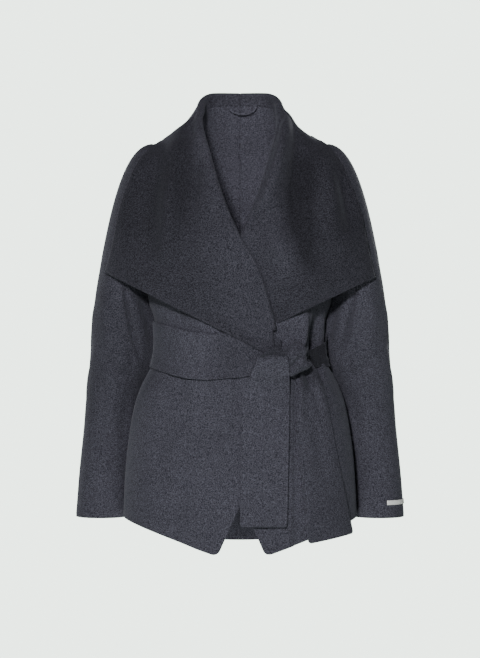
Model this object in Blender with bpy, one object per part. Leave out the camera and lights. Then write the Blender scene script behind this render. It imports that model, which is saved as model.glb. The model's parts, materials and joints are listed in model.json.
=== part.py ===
"""A wrap coat of double-faced wool with a draped shawl collar and a tie belt.

The coat keeps the hollow form it has when it is worn. Sizes are in millimetres, turned to metres at
the end. The front faces -Y, +Z is up, and the origin lies between the two neck points. Each half is
drawn once with x counted towards its own side, and `side` is -1 for the wearer's right half, +1 for
the left one. The cloth is drawn as a sheet, and a Solidify modifier gives it its wall.
"""

import bpy
import numpy as np
from math import asin, cos, pi, radians, sin, sqrt

# ---- Driving dimensions, in millimetres ---------------------------------------------------------

MM = 0.001
CLOTH_WALL = 2.4        # double-faced wool melton
LABEL_WALL = 1.0        # woven label
LOOP_WALL = 2.0         # folded hanger loop
SEAM_GAP = 0.7          # middles of two cloth edges at a seam; their walls are 0.3 apart or more
SHOULDER_GAP = 1.8      # the same where two edges meet at a slope
ARMHOLE_GAP = 2.4       # the sleeve's first ring stands this far out of the armhole
BODY_SQUARENESS = 2.4   # 2 is an ellipse, more is squarer
SHOULDER_ROUND = 45.0   # height over which the shoulder rounds off to its ridge
NECK_X = 64.0           # the neck point, at the end of the shoulder seam
COLLAR_LIFT = 2.4       # the collar's rows stand this much over the neck seam
BICEP_Z = -230.0        # the sleeve's first full ring
CUFF_Z = -659.0
RIGHT, LEFT = -1, 1
FRONT, BACK = -1, 1


class Table:
    """A short table, read smoothly against its first column with no overshoot between rows."""

    def __init__(self, columns, rows):
        self.names = columns.split()
        self.rows = np.array(rows, float)

    def at(self, name, where):
        place = self.rows[:, 0]
        value = self.rows[:, self.names.index(name)]
        step = np.diff(place)
        rise = np.diff(value) / step
        slope = np.zeros(len(place))
        slope[0], slope[-1] = rise[0], rise[-1]
        for k in range(1, len(place) - 1):
            if rise[k - 1] * rise[k] > 0:
                slope[k] = 2 * rise[k - 1] * rise[k] / (rise[k - 1] + rise[k])
        k = int(np.clip(np.searchsorted(place, where) - 1, 0, len(step) - 1))
        t = float(np.clip((where - place[k]) / step[k], 0, 1))
        start = value[k] * (1 + 2 * t) * (1 - t) ** 2 + slope[k] * step[k] * t * (1 - t) ** 2
        end = value[k + 1] * t * t * (3 - 2 * t) - slope[k + 1] * step[k] * t * t * (1 - t)
        return float(start + end)


# Body rings: half width and depth of front and back at each height.
BODY = Table("z half front back", [
    (-725, 193, 124, 132), (-655, 191, 122, 130), (-575, 187, 118, 126), (-515, 180, 114, 122),
    (-470, 171, 111, 118), (-445, 162, 109, 114), (-425, 152, 107, 109), (-405, 142, 105, 104),
    (-375, 136, 104, 100), (-335, 135, 106, 99), (-300, 148, 113, 102), (-255, 151, 121, 108),
    (-215, 154, 124, 112), (-150, 160, 110, 114), (-100, 162, 86, 110), (-60, 160, 66, 100),
    (-30, 152, 47, 88), (0, 140, 34, 76), (50, 130, 24, 62)])

# Height of the shoulder's ridge, and of the collar and sleeve head that lie over it.
SHOULDER = Table("x z", [(0, 75), (35, 50), (52, 20), (64, -2), (90, -24), (115, -38), (129, -42.6),
                         (143, -45.5), (165, -50)])
OVER_SHOULDER = Table("x z", [(0, 95), (45, 60), (60, 30), (68, 18), (76, 3), (100, -17), (129, -39),
                              (150, -44), (168, -53), (186, -77), (198, -102), (208, -137), (236, -280)])

# Front piece, row by row from the hem (0) to the shoulder seam (15): the side seam or armhole, and
# the front edge or roll line. Rows 5 to 15 also carry the lapel out to its outer edge.
FRONT_ROWS = Table("row side_x side_z edge_x edge_z outer_x outer_z", [
    (0, 999, -657, 35, -707, 221, -257), (1, 999, -602, 2, -636, 221, -257),
    (2, 999, -535, -32, -568, 221, -257), (3, 999, -470, -54, -496, 221, -257),
    (4, 999, -416, -62, -432, 221, -257), (5, 999, -375, -61, -396, 220, -257.5),
    (6, 999, -332, -57, -352, 214, -239), (7, 999, -300, -45, -303, 209, -222),
    (8, 999, -262, -29, -254, 205, -205), (9, 999, -232, -6, -200, 201, -188),
    (10, 154, -213, 18, -150, 197, -168), (11, 146, -182, 37, -106, 191, -145),
    (12, 138, -135, 50, -66, 180, -113), (13, 140, -98, 58, -32, 167, -83),
    (14, 142, -68, 63, -2, 151, -59), (15, 143, -45.5, 65, 21, 131, -39.5)])

# Back piece: the height of the centre-back line on the same rows.
BACK_ROWS = Table("row centre_z", [(0, -710), (1, -640), (3, -480), (5, -380), (8, -255), (10, -165),
                                   (13, -45), (15, 24)])

# Collar behind the shoulder seam, from the ridge (15) to the centre back (20).
COLLAR_ROWS = Table("row crest_x crest_y crest_z outer_x outer_z seam_x seam_y seam_z flare", [
    (15, 65, 8, 21, 131, -39.5, 64, 0, -2, 0.0), (16, 63.5, 26, 30, 124, -41, 62.5, 18, 7, 0.3),
    (17, 57, 43, 40, 103, -46, 55, 36, 16, 0.7), (18, 44, 55, 45, 74, -52, 42, 48, 21.5, 1.0),
    (19, 23, 62, 46, 38, -59, 22.5, 56.5, 24, 1.0), (20, 0, 64, 46, 0, -62, 0, 60, 24.5, 1.0)])

# The roll line's way over the side of the neck, in rows 12 to 15.
NECK_CREST = Table("row y", [(12, -76), (13, -51), (14, -21), (14.7, -1), (15, 8)])

# How far each layer of the fronts stands off the body form, and the radius of the roll.
LAYERS = {
    RIGHT: Table("row body lapel roll", [(0, 5, 15, 2.5), (3, 6, 19, 2.5), (4, 9.5, 20, 4.5),
                                         (6, 10, 19.5, 4.9), (8, 10, 17.5, 3.2), (9.5, 10, 17.5, 3.2),
                                         (10.4, 4, 15, 5.0), (15, 0, 15, 6.0)]),
    LEFT: Table("row body lapel roll", [(0, 0, 5, 2.3), (8, 0, 5, 2.3), (9.5, 0.2, 5.2, 2.4),
                                        (10.4, 3, 15, 5.0), (15, 0, 15, 6.0)]),
}

# The soft valley that runs down each lapel from the notch between neck and shoulder.
VALLEY = {
    RIGHT: Table("row across depth", [(5, 0.42, 0), (9, 0.42, 0), (12, 0.36, 6), (14, 0.24, 4),
                                      (15, 0.2, 0), (20, 0.2, 0)]),
    LEFT: Table("row across depth", [(5, 0.46, 0), (8, 0.46, 5), (11, 0.40, 10), (14, 0.26, 5),
                                     (15, 0.2, 0), (20, 0.2, 0)]),
}
VALLEY_WIDTH = 0.13

# The lapels drape over a form this wide at this height, a little wider further down.
DRAPE = {"half": 228.0, "z": -203.0, "spread": 0.10}
# The right front rises over the left one from this far out, within this width.
OVERLAP = {"from_x": 98.0, "within": 42.0}
# Rows over which the fronts and backs settle from the body's rings to the shoulder and neck seams.
SETTLE = {"from_row": 11.5, "rows": 3.5}
# Share of a front's width from which its body bends into the roll.
TO_ROLL = 0.55
# How the fall is drawn in towards the neck, a third and two thirds of the way out: (x, z) and (x, y, z).
TUCK = ((-17.0, -2.0), (-10.0, 1.0))
# How the collar behind the neck stands out: away from the neck and up, at the same two places.
FLARE = ((10.0, 6.0), (6.0, 4.0))
COLLAR_OUT = 9.0        # the collar's edge off the back
LEFT_DROP = 8.0         # the left lapel's lower corner hangs lower

SLEEVE = Table("z centre_x centre_y half_x half_y", [
    (-659, 231, 50, 42.5, 42), (-615, 228.5, 54, 42, 42), (-574, 225, 56, 42, 43),
    (-516, 218, 56, 43, 44), (-470, 213.5, 50, 43.5, 46), (-450, 210, 46, 46, 47),
    (-409, 199.8, 34, 50.3, 49), (-360, 195.3, 22, 51, 52), (-335, 194.5, 18, 50.2, 54),
    (-302, 196, 14, 43, 58), (-230, 192.5, 12, 35, 64)])

# Belt, by the angle it has turned from the front centre towards the wearer's right.
BELT = Table("turn z width out", [
    (-21, -390, 46, 17), (-8, -389, 66, 16), (3, -391, 74, 15.5), (14, -394, 74, 15.5),
    (24, -392, 74, 15), (35, -388, 74, 12), (50, -382, 74, 6.5), (70, -377, 74, 4.4),
    (90, -374, 74, 4.1), (180, -370, 74, 4.0), (270, -374, 74, 4.1), (290, -379, 70, 4.2),
    (305, -386, 58, 4.6), (316, -390, 42, 7)])

# Tails: from the root at the knot down to the cut end.
FRONT_TAIL = Table("step left right y z_left z_right", [
    (0, 54, 75, -123.4, -390, -387), (1, 47, 77, -129.5, -380, -378), (2, 38, 79, -134.5, -381, -380),
    (3, 28, 79.5, -136, -394, -393), (4, 15, 79, -135, -420, -420), (5, 3, 79, -133, -442, -442),
    (6, 0, 78, -133, -500, -500), (7, 0, 77, -135, -570, -570), (8, 0, 75, -138, -663, -664)])
BACK_TAIL = Table("step left right z_left z_right out", [
    (0, 90.5, 118, -409, -410, 12), (1, 93.5, 127, -432, -430, 8), (2, 92, 138, -462, -456, 6.5),
    (3, 90, 146, -505, -497, 6), (4, 95, 156, -560, -550, 6), (5, 101, 166, -625, -614, 6),
    (6, 108.5, 177, -689, -678, 6)])

KNOT = {"x": 85.5, "y": -107.9, "z": -389.0, "half_x": 17.0, "half_y": 15.5, "half_z": 21.5,
        "lean": 4.0, "squareness": 0.75}
LOOP = {"x": 4.5, "half": 22.5, "drop": 16.0, "z": 24.0, "inside": 2.9, "sag": 3.8, "width": 4.0}
LABEL = {"z": -637.5, "height": 7.5, "from_turn": -35.0, "to_turn": 72.0, "out": 2.2}

# Grid counts: columns of the body, the stand, the roll and the fall; rows between table rows.
BODY_COLUMNS, STAND_COLUMNS, ROLL_COLUMNS, FALL_COLUMNS = 8, 2, 3, 8
EXTRA_ROWS = (4.5, 9.5, 13.5, 14.7, 15.3, 19.7)
LAST_BODY_ROW, LAST_ROW, LAPEL_ROW, BREAK_ROW = 15, 20, 5, 6


# ---- Forms --------------------------------------------------------------------------------------

def smooth(t):
    """Ease from 0 to 1."""
    t = min(max(t, 0.0), 1.0)
    return t * t * (3 - 2 * t)


def mix(a, b, t):
    return a + (b - a) * t


def ridge_closing(x, z, ridge):
    """1 well below the shoulder's ridge, 0 on it, round in between."""
    below = (ridge.at("z", abs(x)) - z) / SHOULDER_ROUND
    below = min(max(below, 0.0), 1.0)
    return sqrt(1 - (1 - below) ** 2)


def body_depth(x, z, facing, out=0.0, ridge=SHOULDER):
    """How far the body form reaches to the front or the back at (x, z)."""
    across = min(abs(x) / (BODY.at("half", z) + out), 1.0)
    reach = BODY.at("front" if facing == FRONT else "back", z) + out
    return reach * (1 - across ** BODY_SQUARENESS) ** (1 / BODY_SQUARENESS) * ridge_closing(x, z, ridge)


def body_point(angle, z, facing, out=0.0):
    """A point on the body's ring, by its angle from the front or back centre."""
    power = 2 / BODY_SQUARENESS
    reach = BODY.at("front" if facing == FRONT else "back", z) + out
    x = (BODY.at("half", z) + out) * abs(sin(angle)) ** power * (1 if angle >= 0 else -1)
    y = facing * reach * abs(cos(angle)) ** power * ridge_closing(x, z, SHOULDER)
    return np.array((x, y, z))


def ring_angle(x, z):
    """The ring angle at which the body form has this x."""
    across = min(abs(x) / BODY.at("half", z), 1.0)
    return asin(across ** (BODY_SQUARENESS / 2)) * (1 if x >= 0 else -1)


def lapel_y(x, z, lift, free=1.0):
    """Front of the form that a lapel lies on. Where it is free it drapes over chest and sleeve head
    together, and where it isn't, near its roll, it keeps to the body."""
    wide = DRAPE["half"] - DRAPE["spread"] * (z - DRAPE["z"])
    across = min(abs(x) / wide, 1.0)
    reach = BODY.at("front", z) + lift
    draped = reach * sqrt(1 - across ** 2) * ridge_closing(x, z, OVER_SHOULDER)
    return -mix(body_depth(x, z, FRONT, lift, OVER_SHOULDER), draped, free)


def bezier(a, b, c, d, t):
    return a * (1 - t) ** 3 + 3 * b * t * (1 - t) ** 2 + 3 * c * t * t * (1 - t) + d * t ** 3


# ---- Front with its lapel and half collar ---------------------------------------------------------

def front_out(x, row, side):
    """Offset of the front body: it rises over what lies beneath it towards the centre."""
    return LAYERS[side].at("body", row) * smooth((OVERLAP["from_x"] - x) / OVERLAP["within"])


def settled(row):
    return smooth((row - SETTLE["from_row"]) / SETTLE["rows"])


def front_body_point(f, row, side):
    """f runs from the side seam or armhole (0) to the front edge (1)."""
    side_z = FRONT_ROWS.at("side_z", row)
    edge_x, edge_z = FRONT_ROWS.at("edge_x", row), FRONT_ROWS.at("edge_z", row)
    side_angle = pi / 2
    if row > 10:
        side_angle = ring_angle(FRONT_ROWS.at("side_x", row), side_z)
    angle = mix(side_angle, ring_angle(edge_x, edge_z), f)
    z = mix(side_z, edge_z, f ** 2)
    rough = body_point(angle, z, FRONT)
    return body_point(angle, z, FRONT, front_out(rough[0], row, side))


def shoulder_seam_point(f, neck_f):
    """The shoulder seam from the sleeve (0) to the neck point (neck_f)."""
    x = mix(FRONT_ROWS.at("side_x", LAST_BODY_ROW), NECK_X, f / neck_f)
    return np.array((x, 0.0, SHOULDER.at("z", x)))


def roll_frame(row, side):
    """Crest point of the roll, and the directions across the fall and out of the body."""
    radius = LAYERS[side].at("roll", row)
    if row <= LAST_BODY_ROW:
        x, z = FRONT_ROWS.at("edge_x", row), FRONT_ROWS.at("edge_z", row)
        lift = LAYERS[side].at("lapel", row)
        y = lapel_y(x + radius, z, lift, 0.0) + radius
        crest = np.array((x, mix(y, NECK_CREST.at("y", row), smooth(row - 12)), z))
        turn = smooth((row - 13) / 2) * pi / 2
    else:
        crest = np.array([COLLAR_ROWS.at(name, row) for name in ("crest_x", "crest_y", "crest_z")])
        turn = pi / 2
    upright = smooth((row - 11) / 4)
    heading = (row - LAST_BODY_ROW) / (LAST_ROW - LAST_BODY_ROW) * pi / 2 if row > LAST_BODY_ROW else 0.0
    sideways = np.array((cos(heading), sin(heading), 0.0))
    across = mix(sideways, np.array((0.0, 0.0, -1.0)), upright * turn / (pi / 2))
    out = mix(np.array((0.0, -1.0, 0.0)), sideways, upright * turn / (pi / 2))
    return crest, across / np.linalg.norm(across), out / np.linalg.norm(out), radius


def fall_point(v, row, side):
    """The lapel and collar fall, from the roll (0) to the outer edge (1)."""
    crest, across, out, radius = roll_frame(row, side)
    start = crest + radius * across + radius * out
    if row <= LAST_BODY_ROW:
        outer_x, outer_z = FRONT_ROWS.at("outer_x", row), FRONT_ROWS.at("outer_z", row)
        if side == LEFT:
            outer_z -= LEFT_DROP * smooth((8 - row) / 3)
        tuck = smooth((row - 11) / 4)
        a = np.array((start[0], start[2]))
        d = np.array((outer_x, outer_z))
        b = mix(a, d, 1 / 3) + np.array(TUCK[0]) * tuck
        c = mix(a, d, 2 / 3) + np.array(TUCK[1]) * tuck
        x, z = bezier(a, b, c, d, v)
        lift = LAYERS[side].at("lapel", row)
        free = smooth(2 * v)
        if side == LEFT and row < 10:
            past = x - crest_of_right(z) - 4
            lift = mix(lift, 15.0, smooth(past / 30))
            free = min(free, smooth(past / 60))
        y = lapel_y(x, z, lift, free)
        start_gap = start[1] - lapel_y(a[0], a[1], lift, 0.0)
        point = np.array((x, y + start_gap * (1 - v) ** 3, z))
        inwards = np.array((0.0, 1.0, -0.35))
    else:
        outer_x, outer_z = COLLAR_ROWS.at("outer_x", row), COLLAR_ROWS.at("outer_z", row)
        flare = COLLAR_ROWS.at("flare", row)
        end = np.array((outer_x, body_depth(outer_x, outer_z, BACK, COLLAR_OUT, OVER_SHOULDER), outer_z))
        handles = []
        for share, (tuck_x, tuck_z), (away, up) in zip((1 / 3, 2 / 3), TUCK, FLARE):
            pull = mix(np.array((tuck_x, 0.0, tuck_z)), out * away + (0, 0, up), flare)
            handles.append(mix(start, end, share) + pull)
        point = bezier(start, *handles, end, v)
        inwards = -out
    depth = VALLEY[side].at("depth", row)
    place = VALLEY[side].at("across", row)
    dip = depth * np.exp(-((v - place) / VALLEY_WIDTH) ** 2)
    return point + dip * inwards / np.linalg.norm(inwards)


def crest_of_right(z):
    """Where the right front's roll line lies, counted to the left, at this height."""
    rows = FRONT_ROWS.rows[5:11]
    return float(-np.interp(z, rows[:, 4], rows[:, 3]))


def front_rows():
    """The rows of the grid, each as a place in the tables."""
    return sorted([float(k) for k in range(LAST_ROW + 1)] + list(EXTRA_ROWS))


def front_sheet(side):
    """Grid points and faces of one front, with its lapel and half collar."""
    inner = BODY_COLUMNS + STAND_COLUMNS
    neck_f = BODY_COLUMNS / inner
    rows = front_rows()
    grid = []
    for row in rows:
        line = []
        crest, across, out, radius = roll_frame(min(max(row, BREAK_ROW), LAST_ROW), side)
        under = crest + radius * across - radius * out
        for k in range(inner + 1):
            f = k / inner
            if row > LAST_BODY_ROW:
                seam = np.array([COLLAR_ROWS.at(n, row) for n in ("seam_x", "seam_y", "seam_z")])
                t = max(0, (k - BODY_COLUMNS) / STAND_COLUMNS)
                line.append(mix(seam, under, t))
                continue
            point = front_body_point(f, row, side)
            if row >= BREAK_ROW:
                settle = settled(row)
                if f <= neck_f:
                    top = shoulder_seam_point(f, neck_f)
                else:
                    top = mix(shoulder_seam_point(neck_f, neck_f), roll_under(LAST_BODY_ROW, side),
                              (f - neck_f) / (1 - neck_f))
                base = front_body_point(f, LAST_BODY_ROW, side)
                point = point + (top - base) * settle if row < LAST_BODY_ROW else top
                edge = front_body_point(1.0, row, side)
                if row < LAST_BODY_ROW:
                    edge = edge + (roll_under(LAST_BODY_ROW, side)
                                   - front_body_point(1.0, LAST_BODY_ROW, side)) * settle
                    point = point + (under - edge) * smooth((f - TO_ROLL) / (1 - TO_ROLL))
            line.append(point)
        for k in range(1, ROLL_COLUMNS + 1):
            turn = pi * k / (ROLL_COLUMNS + 1)
            line.append(crest + radius * across * (1 - sin(turn)) - radius * out * cos(turn))
        for k in range(FALL_COLUMNS + 1):
            line.append(fall_point(k / FALL_COLUMNS, max(row, LAPEL_ROW), side))
        grid.append(line)

    def has_face(j, k):
        row = rows[j]
        if k < BODY_COLUMNS:
            return row < LAST_BODY_ROW
        if k < inner:
            return True
        if k < inner + ROLL_COLUMNS + 1:
            return row >= BREAK_ROW
        return row >= LAPEL_ROW
    for j, line in enumerate(grid):
        past = smooth(rows[j] - LAST_BODY_ROW + 1)
        for k in range(len(line)):
            if rows[j] <= LAST_BODY_ROW:
                gap = mix(SEAM_GAP, SHOULDER_GAP, past) / 2
                line[k] = line[k] + np.array((SEAM_GAP / 2, -gap, 2 * past * (k >= BODY_COLUMNS)))
            else:
                line[k] = line[k] + np.array((SEAM_GAP / 2, SEAM_GAP / 2, COLLAR_LIFT))
    return grid_sheet(grid, has_face)


def roll_under(row, side):
    crest, across, out, radius = roll_frame(row, side)
    return crest + radius * across - radius * out


# ---- Back ------------------------------------------------------------------------------------------

BACK_STOPS = (0, 0.04, 0.14, 0.24, 0.333, 0.45, 0.57, 0.69, 0.8, 0.91, 1)
NECK_SHARE = BACK_STOPS[4]


def back_point(f, row):
    """f runs from the centre back (0) to the side seam or armhole (1)."""
    side_z = FRONT_ROWS.at("side_z", row)
    side_angle = pi / 2
    if row > 10:
        side_angle = ring_angle(FRONT_ROWS.at("side_x", row), side_z)
    z = mix(side_z, BACK_ROWS.at("centre_z", row), (1 - f) ** 2)
    return body_point(side_angle * f, z, BACK)


def back_top_point(f):
    """Neck seam from the centre back, then the shoulder seam out to the sleeve."""
    if f <= NECK_SHARE:
        row = mix(LAST_ROW, LAST_BODY_ROW, f / NECK_SHARE)
        return np.array([COLLAR_ROWS.at(n, row) for n in ("seam_x", "seam_y", "seam_z")])
    x = mix(NECK_X, FRONT_ROWS.at("side_x", LAST_BODY_ROW), (f - NECK_SHARE) / (1 - NECK_SHARE))
    return np.array((x, 0.0, SHOULDER.at("z", x)))


def back_sheet():
    rows = [row for row in front_rows() if row <= LAST_BODY_ROW]
    grid = []
    for row in rows:
        settle = settled(row)
        line = []
        for f in BACK_STOPS:
            point = back_point(f, row) + (back_top_point(f) - back_point(f, LAST_BODY_ROW)) * settle
            gap = mix(SEAM_GAP, SHOULDER_GAP, smooth(row - LAST_BODY_ROW + 1)) / 2
            line.append(point + np.array((SEAM_GAP / 2, gap, 0.0)))
        grid.append(line)
    return grid_sheet(grid)


# ---- Sleeve ----------------------------------------------------------------------------------------

SLEEVE_AROUND, HEAD_STEPS, ARM_STEPS = 20, 5, 12
# How the cloth leaves the armhole and arrives at the first ring: at the underarm, and more at the top.
LEAVE = {"low": 9.0, "more": 35.0, "drop": 0.2, "rise": 0.01}
ARRIVE = {"low": 8.0, "more": 87.0, "lean": 0.19}


def armhole_point(turn):
    """A point on the armhole: 0 at the shoulder, pi / 2 at the front, pi at the underarm."""
    down = (1 - cos(turn)) / 2
    row = mix(LAST_BODY_ROW, 10.0, down)
    facing = FRONT if 0 < turn < pi else BACK
    side_x, side_z = FRONT_ROWS.at("side_x", row), FRONT_ROWS.at("side_z", row)
    angle = ring_angle(side_x, side_z) if row > 10.001 else pi / 2
    point = body_point(angle, side_z, facing)
    return point + np.array((ARMHOLE_GAP, 0.0, 0.0))


def sleeve_ring(turn, z, out=0.0):
    """A point on the sleeve's ring: 0 at its outer side, pi / 2 at the front."""
    return np.array((SLEEVE.at("centre_x", z) + (SLEEVE.at("half_x", z) + out) * cos(turn),
                     SLEEVE.at("centre_y", z) - (SLEEVE.at("half_y", z) + out) * sin(turn), z))


def sleeve_sheet():
    """A tube from the armhole to the cuff."""
    turns = [2 * pi * k / SLEEVE_AROUND for k in range(SLEEVE_AROUND)]
    grid = []
    for step in range(HEAD_STEPS):
        t = step / HEAD_STEPS
        line = []
        for turn in turns:
            high = (1 + cos(turn)) / 2
            start, end = armhole_point(turn), sleeve_ring(turn, BICEP_Z)
            outwards = np.array((1.0, 0.0, LEAVE["rise"] - LEAVE["drop"] * (1 - high)))
            upwards = np.array((-ARRIVE["lean"] * high, 0.0, 1.0))
            leave = start + (LEAVE["low"] + LEAVE["more"] * high) * outwards
            arrive = end + (ARRIVE["low"] + ARRIVE["more"] * high) * upwards
            line.append(bezier(start, leave, arrive, end, t))
        grid.append(line)
    for step in range(ARM_STEPS + 1):
        z = mix(BICEP_Z, CUFF_Z, step / ARM_STEPS)
        grid.append([sleeve_ring(turn, z) for turn in turns])
    return grid_sheet(grid[::-1], closed=True)


def label_sheet():
    columns = 8
    grid = []
    for drop in (-0.5, 0.5):
        z = LABEL["z"] + drop * LABEL["height"]
        turns = [radians(mix(LABEL["to_turn"], LABEL["from_turn"], k / columns)) for k in range(columns + 1)]
        grid.append([sleeve_ring(turn, z, LABEL["out"]) for turn in turns])
    return grid_sheet(grid)


# ---- Belt, knot, tails and hanger loop ---------------------------------------------------------------

BELT_STEPS, BELT_ROWS = 52, 3
FIRST_TURN, LAST_TURN = -21.0, 316.0


def belt_point(turn, v):
    """turn is in degrees from the front centre towards the wearer's right; v runs up the belt."""
    z = BELT.at("z", turn) + (v - 0.5) * BELT.at("width", turn)
    across, along = sin(radians(turn)), cos(radians(turn))
    power = 2 / BODY_SQUARENESS
    out = BELT.at("out", turn)
    facing = "front" if along > 0 else "back"
    x = -(BODY.at("half", z) + out) * abs(across) ** power * (1 if across >= 0 else -1)
    y = -(BODY.at(facing, z) + out) * abs(along) ** power * (1 if along >= 0 else -1)
    return np.array((x, y, z))


def belt_sheet():
    grid = []
    for row in range(BELT_ROWS + 1):
        turns = [mix(FIRST_TURN, LAST_TURN, k / BELT_STEPS) for k in range(BELT_STEPS + 1)]
        grid.append([belt_point(turn, row / BELT_ROWS) for turn in turns])
    return grid_sheet([line[::-1] for line in grid])


FRONT_TAIL_CURL = 2.0   # the front tail's outer edge lies this much further back


def front_tail_sheet():
    columns, steps = 4, 16
    grid = []
    for j in range(steps + 1):
        step = FRONT_TAIL.rows[-1][0] * j / steps
        line = []
        for k in range(columns + 1):
            t = k / columns
            x = mix(FRONT_TAIL.at("left", step), FRONT_TAIL.at("right", step), t)
            z = mix(FRONT_TAIL.at("z_left", step), FRONT_TAIL.at("z_right", step), t)
            line.append(np.array((x, FRONT_TAIL.at("y", step) + FRONT_TAIL_CURL * t * t, z)))
        grid.append(line)
    return grid_sheet(grid[::-1])


def back_tail_sheet():
    columns, steps = 4, 9
    grid = []
    for j in range(steps + 1):
        step = BACK_TAIL.rows[-1][0] * j / steps
        line = []
        for k in range(columns + 1):
            t = k / columns
            x = mix(BACK_TAIL.at("left", step), BACK_TAIL.at("right", step), t)
            z = mix(BACK_TAIL.at("z_left", step), BACK_TAIL.at("z_right", step), t)
            line.append(np.array((x, -body_depth(x, z, FRONT, BACK_TAIL.at("out", step)), z)))
        grid.append(line)
    return grid_sheet(grid[::-1])


def knot_solid():
    """A soft lump, squarer than a ball, that leans with the belt."""
    around, levels = 14, 9
    points = []
    for j in range(levels + 1):
        tilt = pi * j / levels
        for k in range(around):
            turn = 2 * pi * k / around
            flat = abs(sin(tilt)) ** KNOT["squareness"]
            points.append((KNOT["x"] + KNOT["half_x"] * flat * cos(turn),
                           KNOT["y"] + KNOT["half_y"] * flat * sin(turn),
                           KNOT["z"] - KNOT["half_z"] * cos(tilt) + KNOT["lean"] * cos(turn) * sin(tilt)))
    return round_solid(points, around, levels)


def loop_sheet():
    """The hanger loop: a narrow band that hangs from the neck seam in a shallow curve."""
    steps = 14
    grid = []
    for edge in (1, -1):
        line = []
        for k in range(steps + 1):
            turn = pi * k / steps
            half = LOOP["half"] + edge * LOOP["width"] / 2
            drop = LOOP["drop"] + edge * LOOP["width"] / 2
            x = LOOP["x"] - half * cos(turn)
            neck = COLLAR_ROWS.at("seam_y", LAST_ROW) * sqrt(1 - (x / NECK_X) ** 2)
            inside = LOOP["inside"] + LOOP["sag"] * sin(turn)
            line.append(np.array((x, neck - inside, LOOP["z"] - drop * sin(turn) ** 0.9)))
        grid.append(line)
    return grid_sheet(grid)


# ---- Meshes ------------------------------------------------------------------------------------------

def grid_sheet(grid, has_face=None, closed=False):
    """Points and four-sided faces of a grid, without the points that no face uses."""
    wide = len(grid[0])
    faces = []
    for j in range(len(grid) - 1):
        for k in range(wide if closed else wide - 1):
            if has_face is None or has_face(j, k):
                right = (k + 1) % wide
                faces.append((j * wide + k, j * wide + right, (j + 1) * wide + right, (j + 1) * wide + k))
    used = sorted({corner for face in faces for corner in face})
    index = {corner: number for number, corner in enumerate(used)}
    flat = [point for line in grid for point in line]
    return [flat[corner] for corner in used], [tuple(index[c] for c in face) for face in faces]


def round_solid(points, around, levels):
    """Close rings into a lump, each pole being one point."""
    ring = points[around:levels * around]
    poles = [np.mean(points[:around], axis=0), np.mean(points[levels * around:], axis=0)]
    faces = []
    for j in range(levels - 2):
        for k in range(around):
            right = (k + 1) % around
            faces.append((j * around + k, j * around + right, (j + 1) * around + right, (j + 1) * around + k))
    low, high = len(ring), len(ring) + 1
    last = (levels - 2) * around
    for k in range(around):
        right = (k + 1) % around
        faces.append((right, k, low))
        faces.append((last + k, last + right, high))
    return list(ring) + poles, faces


def cloth_material(name, colour, roughness):
    material = bpy.data.materials.new(name)
    material.use_nodes = True
    shader = material.node_tree.nodes["Principled BSDF"]
    shader.inputs["Base Color"].default_value = (*colour, 1.0)
    shader.inputs["Roughness"].default_value = roughness
    shader.inputs["Metallic"].default_value = 0.0
    return material


def add_piece(name, sheet, side, colour, wall):
    """Make one named piece. A wall of 0 means that the sheet is already a closed solid."""
    points, faces = sheet
    mesh = bpy.data.meshes.new(name)
    mesh.from_pydata([(side * p[0] * MM, p[1] * MM, p[2] * MM) for p in points], [], faces)
    piece = bpy.data.objects.new(name, mesh)
    bpy.context.collection.objects.link(piece)
    mesh.materials.append(cloth_material(name, colour, 0.9))
    if side == RIGHT:
        mesh.flip_normals()
    mesh.shade_smooth()
    if wall:
        solidify = piece.modifiers.new("Cloth wall", "SOLIDIFY")
        solidify.thickness = wall * MM
        solidify.offset = 0.0
        solidify.use_even_offset = True
    return piece


CHARCOAL = (0.055, 0.062, 0.075)
WHITE = (0.85, 0.85, 0.84)


def build():
    for old in list(bpy.data.objects):
        bpy.data.objects.remove(old, do_unlink=True)
    for side, word in ((RIGHT, "right"), (LEFT, "left")):
        add_piece("front_" + word, front_sheet(side), side, CHARCOAL, CLOTH_WALL)
        add_piece("back_" + word, back_sheet(), side, CHARCOAL, CLOTH_WALL)
        add_piece("sleeve_" + word, sleeve_sheet(), side, CHARCOAL, CLOTH_WALL)
    add_piece("belt", belt_sheet(), LEFT, CHARCOAL, CLOTH_WALL)
    add_piece("knot", knot_solid(), LEFT, CHARCOAL, 0)
    add_piece("tail_front", front_tail_sheet(), LEFT, CHARCOAL, CLOTH_WALL)
    add_piece("tail_back", back_tail_sheet(), LEFT, CHARCOAL, CLOTH_WALL)
    add_piece("hanger_loop", loop_sheet(), LEFT, CHARCOAL, LOOP_WALL)
    add_piece("cuff_label", label_sheet(), LEFT, WHITE, LABEL_WALL)


build()
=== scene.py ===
# %% [markdown]
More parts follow.
